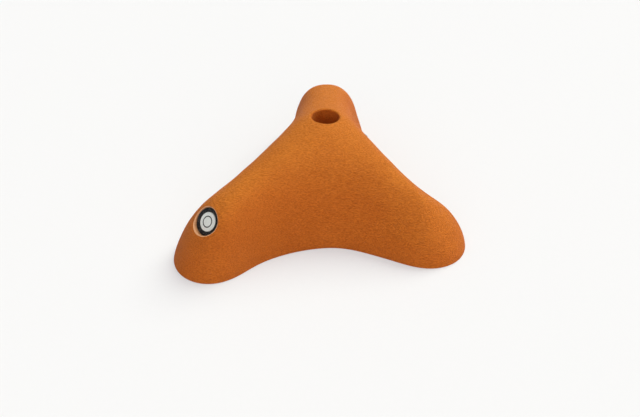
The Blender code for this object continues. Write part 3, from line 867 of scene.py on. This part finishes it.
def carrier_surface():
    """Dark cup of the badge: a recess, a flat ring round it and a rounded outer edge."""
    outer = BADGE_DIAMETER / 2
    recess = INLAY_DIAMETER / 2 + SEAT_GAP
    depth = INLAY_THICKNESS + SEAT_GAP
    rings = [(recess * 0.5, -depth), (recess, -depth), (recess, -BADGE_RECESS_EDGE),
             (recess + BADGE_RECESS_EDGE, 0.0), ((recess + outer) / 2, 0.0),
             *round_edge(outer, BADGE_EDGE, 0.0, 5), *disc_underside(outer, BADGE_EDGE, BADGE_THICKNESS)]
    return turned_surface(rings, ROUND_COLUMNS)


def inlay_surface():
    """Pale disc of the badge: slightly crowned, with one engraved ring and a rounded edge.

    Its height is a parabola less the groove, whose section is half a turn of a cosine.
    """
    outer = INLAY_DIAMETER / 2
    radius = np.linspace(INLAY_FIRST_RADIUS, outer - INLAY_EDGE, INLAY_RINGS)
    groove = np.clip(np.abs(radius - INLAY_RING_RADIUS) / (INLAY_RING_WIDTH / 2), 0.0, 1.0)
    height = INLAY_CROWN * (1 - (radius / outer) ** 2) - INLAY_RING_DEPTH * (1 + np.cos(np.pi * groove)) / 2
    rings = [*zip(radius, height), *round_edge(outer, INLAY_EDGE, 20.0, 4),
             *disc_underside(outer, INLAY_EDGE, INLAY_THICKNESS)]
    return turned_surface(rings, ROUND_COLUMNS)


def fill_inputs(tree, item, inputs):
    """Set a node's inputs to values, or link them to sockets."""
    for key, value in inputs.items():
        if isinstance(value, bpy.types.NodeSocket):
            tree.links.new(value, item.inputs[key])
        else:
            item.inputs[key].default_value = value


def add_node(tree, kind, inputs=None, **settings):
    """A node with its settings and its inputs."""
    item = tree.nodes.new(kind)
    for key, value in settings.items():
        setattr(item, key, value)
    fill_inputs(tree, item, inputs or {})
    return item


def calculate(tree, operation, first, second=0.0, clamp=False):
    """The result of a Math node."""
    return add_node(tree, "ShaderNodeMath", {0: first, 1: second}, operation=operation,
                    use_clamp=clamp).outputs[0]


def plus(tree, first, second, clamp=False):
    """The sum of two values."""
    return calculate(tree, "ADD", first, second, clamp)


def minus(tree, first, second, clamp=False):
    """One value less another."""
    return calculate(tree, "SUBTRACT", first, second, clamp)


def times(tree, first, second):
    """The product of two values."""
    return calculate(tree, "MULTIPLY", first, second)


def inverse(tree, value):
    """One over a value."""
    return calculate(tree, "DIVIDE", 1.0, value)


def vector_math(tree, operation, first, second=(0.0, 0.0, 0.0)):
    """The outputs of a Vector Math node: Vector and Value."""
    return add_node(tree, "ShaderNodeVectorMath", {0: first, 1: second}, operation=operation).outputs


def component(tree, vector, axis):
    """The X, Y or Z of a vector."""
    return add_node(tree, "ShaderNodeSeparateXYZ", {"Vector": vector}).outputs[axis]


def laid(tree, coordinates, scale, turn=(0.0, 0.0, 0.0)):
    """Coordinates that are stretched and turned."""
    return add_node(tree, "ShaderNodeMapping", {"Vector": coordinates, "Rotation": turn,
                                                "Scale": scale}).outputs["Vector"]


def spread(tree, value, low, high, to_low=0.0, to_high=1.0):
    """A value's range laid over another range, and kept inside it."""
    return add_node(tree, "ShaderNodeMapRange", {"Value": value, "From Min": low, "From Max": high,
                                                 "To Min": to_low, "To Max": to_high}).outputs["Result"]


def noise(tree, coordinates, scale, detail, roughness=0.5, distortion=0.0):
    """The value of a Noise Texture."""
    return add_node(tree, "ShaderNodeTexNoise", {"Vector": coordinates, "Scale": scale, "Detail": detail,
                                                 "Roughness": roughness,
                                                 "Distortion": distortion}).outputs["Fac"]


def mix_colour(tree, factor, first, second, blend="MIX"):
    """The colour of a Mix node, whose colour inputs are its seventh and eighth."""
    return add_node(tree, "ShaderNodeMix", {"Factor": factor, 6: first, 7: second}, data_type="RGBA",
                    blend_type=blend).outputs[2]


def tinted(tree, colour, tint):
    """A colour multiplied by another."""
    return mix_colour(tree, 1.0, colour, tint, "MULTIPLY")


def opaque(colour):
    """A colour with its alpha."""
    return (*colour, 1.0)


def relief(tree, height, depth):
    """The normal that a Bump node makes of a height, which is worth this depth at 1."""
    return add_node(tree, "ShaderNodeBump", {"Height": height, "Distance": depth}).outputs["Normal"]


def new_group(name, inputs, outputs):
    """A shader node group with its sockets. Each is given as (name, kind) or (name, kind, default)."""
    tree = bpy.data.node_groups.new(name, "ShaderNodeTree")
    for title, kind, *default in inputs:
        socket = tree.interface.new_socket(name=title, in_out="INPUT", socket_type=f"NodeSocket{kind}")
        if default:
            socket.default_value = default[0]
    for title, kind in outputs:
        tree.interface.new_socket(name=title, in_out="OUTPUT", socket_type=f"NodeSocket{kind}")
    return tree, tree.nodes.new("NodeGroupInput").outputs, tree.nodes.new("NodeGroupOutput")


def grain_group():
    """Cast grip grain: ripples that run across the hold, with finer grit on them.

    Puts out a height and a mask of the low spots.
    """
    tree, given, out = new_group("cast_grain", [("Coordinates", "Vector"), ("Size", "Float", 0.001)],
                                 [("Height", "Float"), ("Low Spots", "Float")])
    place = given["Coordinates"]
    fineness = inverse(tree, given["Size"])
    ripples = noise(tree, laid(tree, place, GRAIN_STRETCH), fineness, 1.0, 0.5, 0.5)
    ripples = spread(tree, ripples, 0.32, 0.68)
    cells = {"Vector": place, "Scale": fineness, "Smoothness": 0.6}
    pimples = add_node(tree, "ShaderNodeTexVoronoi", cells, feature="SMOOTH_F1").outputs["Distance"]
    grit = noise(tree, place, times(tree, fineness, 2.6), 3.0, 0.62)
    fine = minus(tree, times(tree, grit, 0.40), times(tree, pimples, 0.25))
    height = plus(tree, times(tree, ripples, 0.60), fine)
    fill_inputs(tree, out, {"Height": height, "Low Spots": spread(tree, height, 0.55, 0.10)})
    return tree


def mottle_group():
    """Slow colour variation: cloudy patches and a faint fleck, round a base colour."""
    tree, given, out = new_group("colour_mottle",
                                 [("Coordinates", "Vector"), ("Colour", "Color"), ("Light Colour", "Color"),
                                  ("Patch Size", "Float", 0.03), ("Fleck", "Float", 0.1)],
                                 [("Colour", "Color")])
    place = given["Coordinates"]
    fineness = inverse(tree, given["Patch Size"])
    clouds = spread(tree, noise(tree, place, fineness, 4.0, 0.55), 0.30, 0.72)
    flecks = spread(tree, noise(tree, place, times(tree, fineness, 22.0), 2.0), 0.35, 0.75)
    patchy = mix_colour(tree, clouds, given["Colour"], given["Light Colour"])
    darker = tinted(tree, patchy, FLECK_TINT)
    flecked = mix_colour(tree, times(tree, flecks, given["Fleck"]), patchy, darker)
    fill_inputs(tree, out, {"Colour": flecked})
    return tree


def scratch_group():
    """Fine scuffs: thin curved lines where a stretched noise crosses its middle. Puts out one mask."""
    tree, given, out = new_group("fine_scratches", [("Coordinates", "Vector"), ("Size", "Float", 0.004)],
                                 [("Scratches", "Float")])
    fineness = inverse(tree, given["Size"])
    masks = []
    for turn, stretch in ((0.4, (1.0, 0.12, 1.0)), (1.9, (0.15, 1.0, 0.5))):
        strokes = noise(tree, laid(tree, given["Coordinates"], stretch, (0.3, 0.2, turn)), fineness, 2.0)
        masks.append(spread(tree, calculate(tree, "ABSOLUTE", minus(tree, strokes, 0.5)), 0.012, 0.0))
    fill_inputs(tree, out, {"Scratches": calculate(tree, "MAXIMUM", *masks)})
    return tree


def pinhole_group():
    """Air bubbles that the casting left open: small round pits in a few cells of a Voronoi pattern."""
    tree, given, out = new_group("pinholes", [("Coordinates", "Vector"), ("Spacing", "Float", 0.004),
                                              ("Share", "Float", 0.1), ("Width", "Float", 0.1)],
                                 [("Pits", "Float")])
    cells = add_node(tree, "ShaderNodeTexVoronoi", {"Vector": given["Coordinates"],
                                                    "Scale": inverse(tree, given["Spacing"])}).outputs
    chosen = calculate(tree, "LESS_THAN", component(tree, cells["Color"], "X"), given["Share"])
    width = times(tree, given["Width"], plus(tree, component(tree, cells["Color"], "Y"), 0.4))
    pit = minus(tree, 1.0, calculate(tree, "DIVIDE", cells["Distance"], width), True)
    fill_inputs(tree, out, {"Pits": times(tree, calculate(tree, "POWER", pit, 0.5), chosen)})
    return tree


def shared_groups():
    """The node groups that materials share, made once."""
    makers = {"grain": ("cast_grain", grain_group), "mottle": ("colour_mottle", mottle_group),
              "scratches": ("fine_scratches", scratch_group), "pinholes": ("pinholes", pinhole_group)}
    return {key: bpy.data.node_groups.get(name) or make() for key, (name, make) in makers.items()}


def use_group(tree, group, inputs):
    """The outputs of a node of a shared group."""
    return add_node(tree, "ShaderNodeGroup", inputs, node_tree=group).outputs


def mottled(tree, groups, place, colours, patch_size, fleck):
    """The shared mottle of a colour and a lighter one."""
    return use_group(tree, groups["mottle"], {"Coordinates": place, "Colour": opaque(colours[0]),
                                              "Light Colour": opaque(colours[1]), "Patch Size": patch_size,
                                              "Fleck": fleck})["Colour"]


def scratched(tree, groups, place, size):
    """The mask of the shared scratches."""
    return use_group(tree, groups["scratches"], {"Coordinates": place, "Size": size})["Scratches"]


def pitted(tree, groups, place, spacing, width, share):
    """The mask of the shared pinholes."""
    return use_group(tree, groups["pinholes"], {"Coordinates": place, "Spacing": spacing, "Width": width,
                                                "Share": share})["Pits"]


def new_material(name):
    """A material with its Principled shader and a socket of Object coordinates."""
    material = bpy.data.materials.new(name)
    material.use_nodes = True
    tree = material.node_tree
    place = tree.nodes.new("ShaderNodeTexCoord").outputs["Object"]
    return material, tree, tree.nodes["Principled BSDF"], place


def ring_mask(tree, place, radius, width):
    """1 in a ring round the badge's axis and 0 elsewhere.

    The distance from the axis is the length of the cross product of the axis and the way from the badge's
    middle.
    """
    spoke = vector_math(tree, "SUBTRACT", place, tuple(badge_place()[:3, 3]))["Vector"]
    across = vector_math(tree, "CROSS_PRODUCT", spoke, tuple(badge_axis()))["Vector"]
    reach = vector_math(tree, "LENGTH", across)["Value"]
    off = calculate(tree, "ABSOLUTE", minus(tree, reach, radius))
    return spread(tree, off, width * 0.55, width * 0.45)


def cast_material(settings, groups):
    """Matt orange cast polyurethane: grained outside, and sanded lighter on the flat of the back.

    Its colour has painted shade in the grain's low spots and pinholes, a painted highlight where it faces
    up, and a paler painted highlight round the badge's pocket rim.
    """
    material, tree, shader, place = new_material("cast_orange")
    grain = use_group(tree, groups["grain"], {"Coordinates": place, "Size": settings.grain_size})
    colour = mottled(tree, groups, place, (settings.colour, settings.light_colour), 0.028, 0.35)
    # Painted shade: a darker, redder copy of the colour fills the grain's low spots, and below also the
    # pinholes
    shaded = tinted(tree, colour, LOW_SPOT_SHADE_TINT)
    colour = mix_colour(tree, times(tree, grain["Low Spots"], 0.65), colour, shaded)
    # Painted highlight: surfaces that face up are tinted lighter and yellower, as if lit from above
    upwards = add_node(tree, "ShaderNodeAttribute", attribute_name=SLOPE_ATTRIBUTE).outputs["Fac"]
    crest_highlight = mix_colour(tree, spread(tree, upwards, 0.45, 0.95), NO_TINT, CREST_HIGHLIGHT_TINT)
    colour = tinted(tree, colour, crest_highlight)
    # Painted highlight: a paler ring round the badge's pocket rim stands in for the light that catches that
    # edge; the ring is also less rough
    rim_radius = BADGE_DIAMETER / 2 + SEAT_GAP + settings.badge_rim * 0.30
    rim = ring_mask(tree, place, rim_radius, settings.badge_rim * 0.65)
    colour = mix_colour(tree, times(tree, rim, 0.65), colour, opaque(settings.rim_highlight_colour))
    back = spread(tree, component(tree, place, "Z"), BACK_FADE_TOP, BACK_FADE_BOTTOM)
    swirls = scratched(tree, groups, place, 0.006)
    sanded = mix_colour(tree, times(tree, swirls, 0.6), opaque(settings.sanded_colour),
                        opaque(settings.light_colour))
    colour = mix_colour(tree, back, colour, sanded)
    pits = pitted(tree, groups, place, 0.005, 0.075, spread(tree, back, 0.0, 1.0, 0.02, 0.35))
    # Painted shade: the pinholes are darkened with the shaded copy of the colour
    colour = mix_colour(tree, times(tree, pits, 0.5), colour, shaded)
    rough = plus(tree, 0.66, times(tree, grain["Low Spots"], 0.20), True)
    rough = minus(tree, rough, times(tree, rim, 0.30), True)
    height = times(tree, grain["Height"], minus(tree, 1.0, back))
    height = minus(tree, height, times(tree, pits, 1.2))
    fill_inputs(tree, shader, {
        "Base Color": colour, "Roughness": rough, "Specular IOR Level": 0.20, "Sheen Weight": 0.04,
        "Sheen Tint": SHEEN_TINT, "Sheen Roughness": 0.35,
        "Normal": relief(tree, height, settings.grain_depth)})
    return material


def moulded_material(settings, groups):
    """The skin of the hollow back: smoother than the outside, with faint flow marks and pinholes, the
    pinholes darkened with painted shade.
    """
    material, tree, shader, place = new_material("moulded_orange")
    colour = mottled(tree, groups, place, (settings.colour, settings.light_colour), 0.018, 0.20)
    # Painted shade: the pinholes are darkened with a shaded copy of the colour
    shaded = tinted(tree, colour, PIT_SHADE_TINT)
    pits = pitted(tree, groups, place, 0.006, 0.07, 0.25)
    flow = noise(tree, place, 90.0, 3.0, 0.5, 1.5)
    height = plus(tree, times(tree, flow, 0.7), times(tree, noise(tree, place, 700.0, 2.0), 0.15))
    fill_inputs(tree, shader, {
        "Base Color": mix_colour(tree, pits, colour, shaded),
        "Roughness": spread(tree, flow, 0.3, 0.7, 0.42, 0.60), "Specular IOR Level": 0.30,
        "Normal": relief(tree, minus(tree, height, pits), 0.0003)})
    return material


def metal_material(name, settings, groups, stretch):
    """Zinc-plated steel: a cloudy bright film with fine scuffs, and tool marks from a stretched noise."""
    material, tree, shader, place = new_material(name)
    colour = mottled(tree, groups, place, (settings.metal_colour, settings.metal_light_colour), 0.006, 0.5)
    scuffs = scratched(tree, groups, place, 0.0015)
    clouds = noise(tree, place, 900.0, 3.0)
    marks = noise(tree, laid(tree, place, stretch), 1500.0, 2.0)
    height = minus(tree, marks, times(tree, scuffs, 0.6))
    fill_inputs(tree, shader, {
        "Base Color": mix_colour(tree, times(tree, scuffs, 0.5), colour, SCUFFED_METAL),
        "Roughness": minus(tree, times(tree, clouds, 0.5), times(tree, scuffs, 0.10), True),
        "Metallic": 1.0, "Normal": relief(tree, height, 0.00002)})
    return material


def badge_material(name, colours, groups, roughness, gloss):
    """Smooth moulded plastic with a soft gloss, fine scuffs and a little dust in its colour."""
    material, tree, shader, place = new_material(name)
    base = mottled(tree, groups, place, colours, 0.004, 0.25)
    scuffs = scratched(tree, groups, place, 0.003)
    height = minus(tree, noise(tree, place, 2500.0, 2.0), scuffs)
    fill_inputs(tree, shader, {
        "Base Color": mix_colour(tree, times(tree, scuffs, 0.25), base, DUST),
        "Roughness": plus(tree, roughness, times(tree, scuffs, 0.25), True),
        "Specular IOR Level": gloss, "Normal": relief(tree, height, 0.000015)})
    return material


def inlay_material(settings, groups):
    """The pale plastic of the disc, with dark paint in its engraved ring."""
    colours = (settings.pale_colour, settings.pale_light_colour)
    material = badge_material("badge_white", colours, groups, roughness=0.32, gloss=0.40)
    tree = material.node_tree
    shader = tree.nodes["Principled BSDF"]
    place = tree.nodes.new("ShaderNodeTexCoord").outputs["Object"]
    pale = shader.inputs["Base Color"].links[0].from_socket
    paint = ring_mask(tree, place, INLAY_RING_RADIUS, INLAY_RING_WIDTH)
    fill_inputs(tree, shader, {"Base Color": mix_colour(tree, paint, pale, opaque(settings.dark_colour))})
    return material


def stage_surface():
    """Floor and backdrop in one sheet: level under the hold, then rising in a quarter turn far behind."""
    across = np.linspace(-STAGE_REACH, STAGE_REACH, 9)
    turn = np.linspace(0.0, np.pi / 2, 13)
    bend = STAGE_REACH - BACKDROP_BEND * (1 - np.sin(turn))
    along = np.concatenate([[-STAGE_REACH, -1.0, 1.0], bend, [STAGE_REACH]])
    height = np.concatenate([[0.0, 0.0, 0.0], BACKDROP_BEND * (1 - np.cos(turn)), [BACKDROP_HEIGHT]])
    points = np.stack(np.broadcast_arrays(across[None], along[:, None], height[:, None] - FLOOR_GAP), -1)
    ids = np.arange(points.size // 3).reshape(points.shape[:2])
    faces = np.stack([ids[:-1, :-1], ids[:-1, 1:], ids[1:, 1:], ids[1:, :-1]], -1)
    return points.reshape(-1, 3), [faces.reshape(-1, 4)]


def swelling_value(tree, place):
    """What swell() gives on the floor, less the margin that the clear floor keeps from the hold's edge."""
    rise = -COVER_MARGIN
    for swelling in SWELLINGS:
        off = vector_math(tree, "DISTANCE", place, tuple(middle_of_swelling(swelling) * (1, 1, 0)))["Value"]
        away = calculate(tree, "POWER", calculate(tree, "DIVIDE", off, swelling.width), 2.0)
        share = minus(tree, 1 - (swelling.level / swelling.height) ** 2, away, True)
        rise = plus(tree, rise, times(tree, calculate(tree, "POWER", share, 3.0), swelling.depth))
    return rise


def covered_mask(tree, place):
    """1 where the hold covers the floor, and 0 elsewhere.

    That is inside one of the arms' end circles, or outside all valley circles and no further out than the
    end circles' centres. The swellings widen it.
    """
    rise = swelling_value(tree, place)
    ends = 0.0
    between = 1.0
    for arm, radius, centre in zip(OUTSIDE.arms, OUTSIDE.valley_radii, valley_centres(OUTSIDE)):
        along = (*polar(1.0, arm.direction), 0.0)
        end = tuple(HUB + arm.reach * np.array(along))
        off = vector_math(tree, "DISTANCE", place, end)["Value"]
        ends = calculate(tree, "MAXIMUM", ends,
                         calculate(tree, "LESS_THAN", off, plus(tree, arm.end_radius, rise)))
        spoke = vector_math(tree, "SUBTRACT", place, end)["Vector"]
        reach = vector_math(tree, "DOT_PRODUCT", spoke, along)["Value"]
        between = calculate(tree, "MINIMUM", between, calculate(tree, "LESS_THAN", reach, 0.0))
        off = vector_math(tree, "DISTANCE", place, (*centre + HUB[:2], 0.0))["Value"]
        between = calculate(tree, "MINIMUM", between,
                            calculate(tree, "GREATER_THAN", off, minus(tree, radius, rise)))
    return calculate(tree, "MAXIMUM", ends, between)


def mix_shader(tree, factor, first, second):
    """The shader of a Mix Shader node."""
    return add_node(tree, "ShaderNodeMixShader", {0: factor, 1: first, 2: second}).outputs["Shader"]


def floor_material(settings):
    """Pale paper. The camera sees it part lit and part plain, so that it keeps the hold's shadow.

    It is clear from below and where the hold covers it, so that the hollow back can be seen and is lit.
    """
    material, tree, shader, place = new_material("pale_floor")
    fibres = times(tree, noise(tree, place, 300.0, 4.0), 0.3)
    fill_inputs(tree, shader, {"Base Color": mix_colour(tree, fibres, opaque(settings.floor_colour),
                                                        opaque(settings.fibre_colour)), "Roughness": 0.9})
    glow = add_node(tree, "ShaderNodeEmission", {"Color": opaque(settings.backdrop_colour)})
    seen = add_node(tree, "ShaderNodeLightPath").outputs["Is Camera Ray"]
    paper = mix_shader(tree, times(tree, seen, settings.floor_glow), shader.outputs["BSDF"],
                       glow.outputs["Emission"])
    below = add_node(tree, "ShaderNodeNewGeometry").outputs["Backfacing"]
    clear = calculate(tree, "MAXIMUM", below, covered_mask(tree, place))
    surface = mix_shader(tree, clear, paper, add_node(tree, "ShaderNodeBsdfTransparent").outputs["BSDF"])
    fill_inputs(tree, tree.nodes["Material Output"], {"Surface": surface})
    return material


def add_room(settings):
    """Even light all round. The camera sees the backdrop's colour in its place."""
    world = bpy.data.worlds.new("soft_room")
    world.use_nodes = True
    tree = world.node_tree
    sky = tree.nodes["Background"]
    fill_inputs(tree, sky, {"Color": SKY_COLOUR, "Strength": settings.sky_strength})
    plain = add_node(tree, "ShaderNodeBackground", {"Color": opaque(settings.backdrop_colour)})
    seen = add_node(tree, "ShaderNodeLightPath").outputs["Is Camera Ray"]
    light = mix_shader(tree, seen, sky.outputs["Background"], plain.outputs["Background"])
    fill_inputs(tree, tree.nodes["World Output"], {"Surface": light})
    bpy.context.scene.world = world


def add_lamp(lamp, strength):
    """A wide soft lamp that shines evenly from its direction and rise."""
    light = bpy.data.lights.new(lamp.name, "SUN")
    light.angle = np.radians(lamp.softness)
    light.energy = strength
    light.color = lamp.colour
    back = Vector(ray(lamp.direction, lamp.rise))
    item = new_object(lamp.name, light)
    item.location = back
    item.rotation_euler = back.to_track_quat("Z", "Y").to_euler()


def add_camera():
    """The photograph's camera: turned about the hub by azimuth and elevation, and then rolled."""
    azimuth = np.radians(CAMERA_AZIMUTH)
    roll = np.radians(CAMERA_ROLL)
    back = ray(CAMERA_AZIMUTH - 90.0, CAMERA_ELEVATION)
    level = np.array([np.cos(azimuth), np.sin(azimuth), 0.0])
    upright = np.cross(back, level)
    right = np.cos(roll) * level - np.sin(roll) * upright
    up = np.sin(roll) * level + np.cos(roll) * upright
    place = np.eye(4)
    place[:3, :3] = np.stack([right, up, back], 1)
    place[:3, 3] = HUB + (0.0, 0.0, CAMERA_TARGET_HEIGHT) + back * CAMERA_DISTANCE
    data = bpy.data.cameras.new("camera")
    data.sensor_width = SENSOR_WIDTH_MM
    data.lens = PIXELS_PER_METRE * CAMERA_DISTANCE / PHOTO_WIDTH * SENSOR_WIDTH_MM
    data.shift_x = (PHOTO_WIDTH / 2 - CENTRE_PIXEL[0]) / PHOTO_WIDTH
    data.shift_y = (CENTRE_PIXEL[1] - PHOTO_HEIGHT / 2) / PHOTO_WIDTH
    data.clip_start = NEAREST_SEEN
    data.clip_end = FARTHEST_SEEN
    camera = new_object("camera", data)
    camera.matrix_world = Matrix(place.tolist())
    bpy.context.scene.camera = camera


def colour_setting(name, description, default):
    """A colour that a user may set."""
    return FloatVectorProperty(name=name, description=description, subtype="COLOR", size=3, min=0.0,
                               max=1.0, default=default)


def length_setting(name, description, low, high, default):
    """A length that a user may set."""
    return FloatProperty(name=name, description=description, unit="LENGTH", min=low, max=high, precision=5,
                         default=default)


def number_setting(name, description, high, default):
    """A strength or a share that a user may set."""
    return FloatProperty(name=name, description=description, min=0.0, max=high, default=default)


class CastingSettings(bpy.types.PropertyGroup):
    """Sizes and colours of the casting."""

    colour: colour_setting("Colour", "Colour of the cast polyurethane", (0.620, 0.142, 0.0085))
    light_colour: colour_setting("Light colour", "Colour of its paler patches", (0.670, 0.163, 0.0115))
    sanded_colour: colour_setting("Sanded colour", "Colour of the sanded flat back", (0.66, 0.22, 0.05))
    # Painted highlight: the paler colour of the ring round the badge's pocket rim
    rim_highlight_colour: colour_setting("Rim highlight colour", "Colour of the painted rim highlight round the badge",
                                  (0.88, 0.50, 0.28))
    grain_size: length_setting("Grain size", "Width of one pimple of the grip grain", 0.0002, 0.005, 0.0008)
    grain_depth: length_setting("Grain depth", "Depth of the grip grain", 0.0, 0.002, 0.00058)
    mouth_rounding: length_setting("Mouth rounding", "Rounding of the hole's rim", 0.0002, 0.005, 0.002)
    badge_rim: length_setting("Badge rim", "Rounding of the rim round the badge", 0.0002, 0.003, 0.001)
    foot_rounding: length_setting("Foot rounding", "Rounding of the back's edge", 0.0002, 0.004, 0.0005)


class FastenerSettings(bpy.types.PropertyGroup):
    """Colours of the bolt, the screw and the washer."""

    metal_colour: colour_setting("Metal colour", "Colour of the plated steel", (0.46, 0.47, 0.49))
    metal_light_colour: colour_setting("Bright metal colour", "Colour of its bright patches",
                                       (0.62, 0.62, 0.63))


class BadgeSettings(bpy.types.PropertyGroup):
    """Colours of the badge."""

    dark_colour: colour_setting("Dark colour", "Colour of the badge's carrier", (0.010, 0.010, 0.011))
    dark_light_colour: colour_setting("Dark patches", "Colour of its paler patches", (0.018, 0.018, 0.019))
    pale_colour: colour_setting("Pale colour", "Colour of the badge's disc", (0.74, 0.75, 0.71))
    pale_light_colour: colour_setting("Pale patches", "Colour of its paler patches", (0.82, 0.83, 0.80))


class StageSettings(bpy.types.PropertyGroup):
    """The floor, the lamps and the light all round."""

    floor_colour: colour_setting("Floor colour", "Colour of the floor and backdrop", (0.74, 0.725, 0.755))
    fibre_colour: colour_setting("Fibre colour", "Colour of the floor's faint fibres", (0.68, 0.665, 0.695))
    backdrop_colour: colour_setting("Backdrop colour", "Plain colour the camera sees", (0.955, 0.94, 0.945))
    floor_glow: number_setting("Floor glow", "Share of the plain colour in what the camera sees", 1.0, 0.50)
    key_strength: number_setting("Key lamp", "Strength of the lamp behind the right shoulder", 20.0, 3.2)
    fill_strength: number_setting("Fill lamp", "Strength of the low lamp in front", 20.0, 1.15)
    sky_strength: number_setting("Sky", "Strength of the light all round", 5.0, 0.42)


class HoldSettings(bpy.types.PropertyGroup):
    """Everything that a user may set."""

    casting: PointerProperty(name="Casting", description="Sizes and colours of the casting",
                             type=CastingSettings)
    fasteners: PointerProperty(name="Fasteners", description="Colours of the fasteners",
                               type=FastenerSettings)
    badge: PointerProperty(name="Badge", description="Colours of the badge", type=BadgeSettings)
    stage: PointerProperty(name="Stage", description="Floor and light", type=StageSettings)


class HOLD_OT_casting(bpy.types.Operator):
    """Build the casting with its soft-rimmed holes and hollow back"""

    bl_idname = "hold.casting"
    bl_label = "Build casting"

    def execute(self, context):
        settings = context.scene.climbing_hold.casting
        cage = dome_surface(OUTSIDE, TIP_STEPS, SIDE_STEPS, SECTION_ROWS, SKIRT_DEPTH)
        casting = smoothed_dome("casting", cage, OUTSIDE_LEVELS)
        move_along_normals(casting, waves)
        move_along_normals(casting, swell)
        round_foot(casting, settings.foot_rounding)
        sink_counterbore(casting, settings.mouth_rounding)
        sink_screw_pocket(casting)
        sink_badge_pocket(casting, settings.badge_rim)
        subtract(casting, hollow_cutter(), 1)
        subtract(casting, hole_cutter(BOLT_HOLE_RADIUS, HUB, WASHER_SEAT_HEIGHT - WASHER_THICKNESS))
        subtract(casting, hole_cutter(SCREW_HOLE_RADIUS, SCREW_FOOT, SCREW_SEAT_HEIGHT - SCREW_LEDGE))
        keep_slope(casting)
        groups = shared_groups()
        dress(casting, "hold", ["hold_body"],
              [cast_material(settings, groups), moulded_material(settings, groups)], CASTING_SHARP_ANGLE)
        return {"FINISHED"}


class HOLD_OT_fasteners(bpy.types.Operator):
    """Build the mounting bolt, its washer and the anti-turn screw"""

    bl_idname = "hold.fasteners"
    bl_label = "Build fasteners"

    def execute(self, context):
        settings = context.scene.climbing_hold.fasteners
        groups = shared_groups()
        turned = metal_material("zinc_steel", settings, groups, LATHE_STRETCH)
        pressed = metal_material("washer_steel", settings, groups, NO_STRETCH)
        bolt_foot = HUB + (0, 0, BOLT_TIP_HEIGHT)
        screw_foot = SCREW_FOOT + (0, 0, SCREW_TIP_HEIGHT)
        for name, surface, foot, body, node, material in (
                ("socket_bolt", bolt_surface(), bolt_foot, "bolt", "mounting_bolt", turned),
                ("panel_screw", screw_surface(), screw_foot, "screw", "anti_turn_screw", turned),
                ("flat_washer", washer_surface(), HUB, "hold", "bolt_washer", pressed)):
            points, faces = surface
            piece = new_solid(name, points + foot, faces)
            dress(piece, body, [node], [material], FASTENER_SHARP_ANGLE)
        return {"FINISHED"}


class HOLD_OT_badge(bpy.types.Operator):
    """Build the badge's dark carrier and its pale disc"""

    bl_idname = "hold.badge"
    bl_label = "Build badge"

    def execute(self, context):
        settings = context.scene.climbing_hold.badge
        groups = shared_groups()
        place = badge_place()
        points, faces = carrier_surface()
        carrier = new_solid("badge_cup", moved(place, points), faces)
        colours = (settings.dark_colour, settings.dark_light_colour)
        dark = badge_material("badge_black", colours, groups, roughness=0.34, gloss=0.15)
        dress(carrier, "hold", ["badge_carrier"], [dark], BADGE_SHARP_ANGLE)
        points, faces = inlay_surface()
        inlay = new_solid("badge_disc", moved(place, points - (0, 0, INLAY_CROWN)), faces)
        pale = inlay_material(settings, groups)
        dress(inlay, "hold", ["badge_inlay"], [pale], BADGE_SHARP_ANGLE)
        return {"FINISHED"}


class HOLD_OT_stage(bpy.types.Operator):
    """Set up the floor, the lamps, the light all round and the camera"""

    bl_idname = "hold.stage"
    bl_label = "Set up stage"

    def execute(self, context):
        settings = context.scene.climbing_hold.stage
        floor = new_object("floor", new_mesh("floor", *stage_surface()))
        floor.data.materials.append(floor_material(settings))
        floor.data.shade_smooth()
        add_lamp(KEY_LAMP, settings.key_strength)
        add_lamp(FILL_LAMP, settings.fill_strength)
        add_room(settings)
        context.scene.view_settings.view_transform = "Standard"
        add_camera()
        return {"FINISHED"}


class HOLD_PT_panel(bpy.types.Panel):
    """The sidebar's list of the hold's pieces and of what may be set"""

    bl_idname = "HOLD_PT_panel"
    bl_label = "Climbing Hold"
    bl_space_type = "VIEW_3D"
    bl_region_type = "UI"
    bl_category = "Climbing Hold"

    def draw(self, context):
        settings = context.scene.climbing_hold
        for operator, group in (("hold.casting", settings.casting), ("hold.fasteners", settings.fasteners),
                                ("hold.badge", settings.badge), ("hold.stage", settings.stage)):
            box = self.layout.box()
            box.operator(operator)
            for key in group.bl_rna.properties.keys():
                if key not in ("rna_type", "name"):
                    box.prop(group, key)


CLASSES = (CastingSettings, FastenerSettings, BadgeSettings, StageSettings, HoldSettings, HOLD_OT_casting,
           HOLD_OT_fasteners, HOLD_OT_badge, HOLD_OT_stage, HOLD_PT_panel)


def register():
    for item in CLASSES:
        bpy.utils.register_class(item)
    bpy.types.Scene.climbing_hold = PointerProperty(type=HoldSettings)


def unregister():
    del bpy.types.Scene.climbing_hold
    for item in reversed(CLASSES):
        bpy.utils.unregister_class(item)


def main():
    """Build every piece and the stage."""
    register()
    bpy.ops.hold.casting()
    bpy.ops.hold.fasteners()
    bpy.ops.hold.badge()
    bpy.ops.hold.stage()


if __name__ == "__main__":
    main()
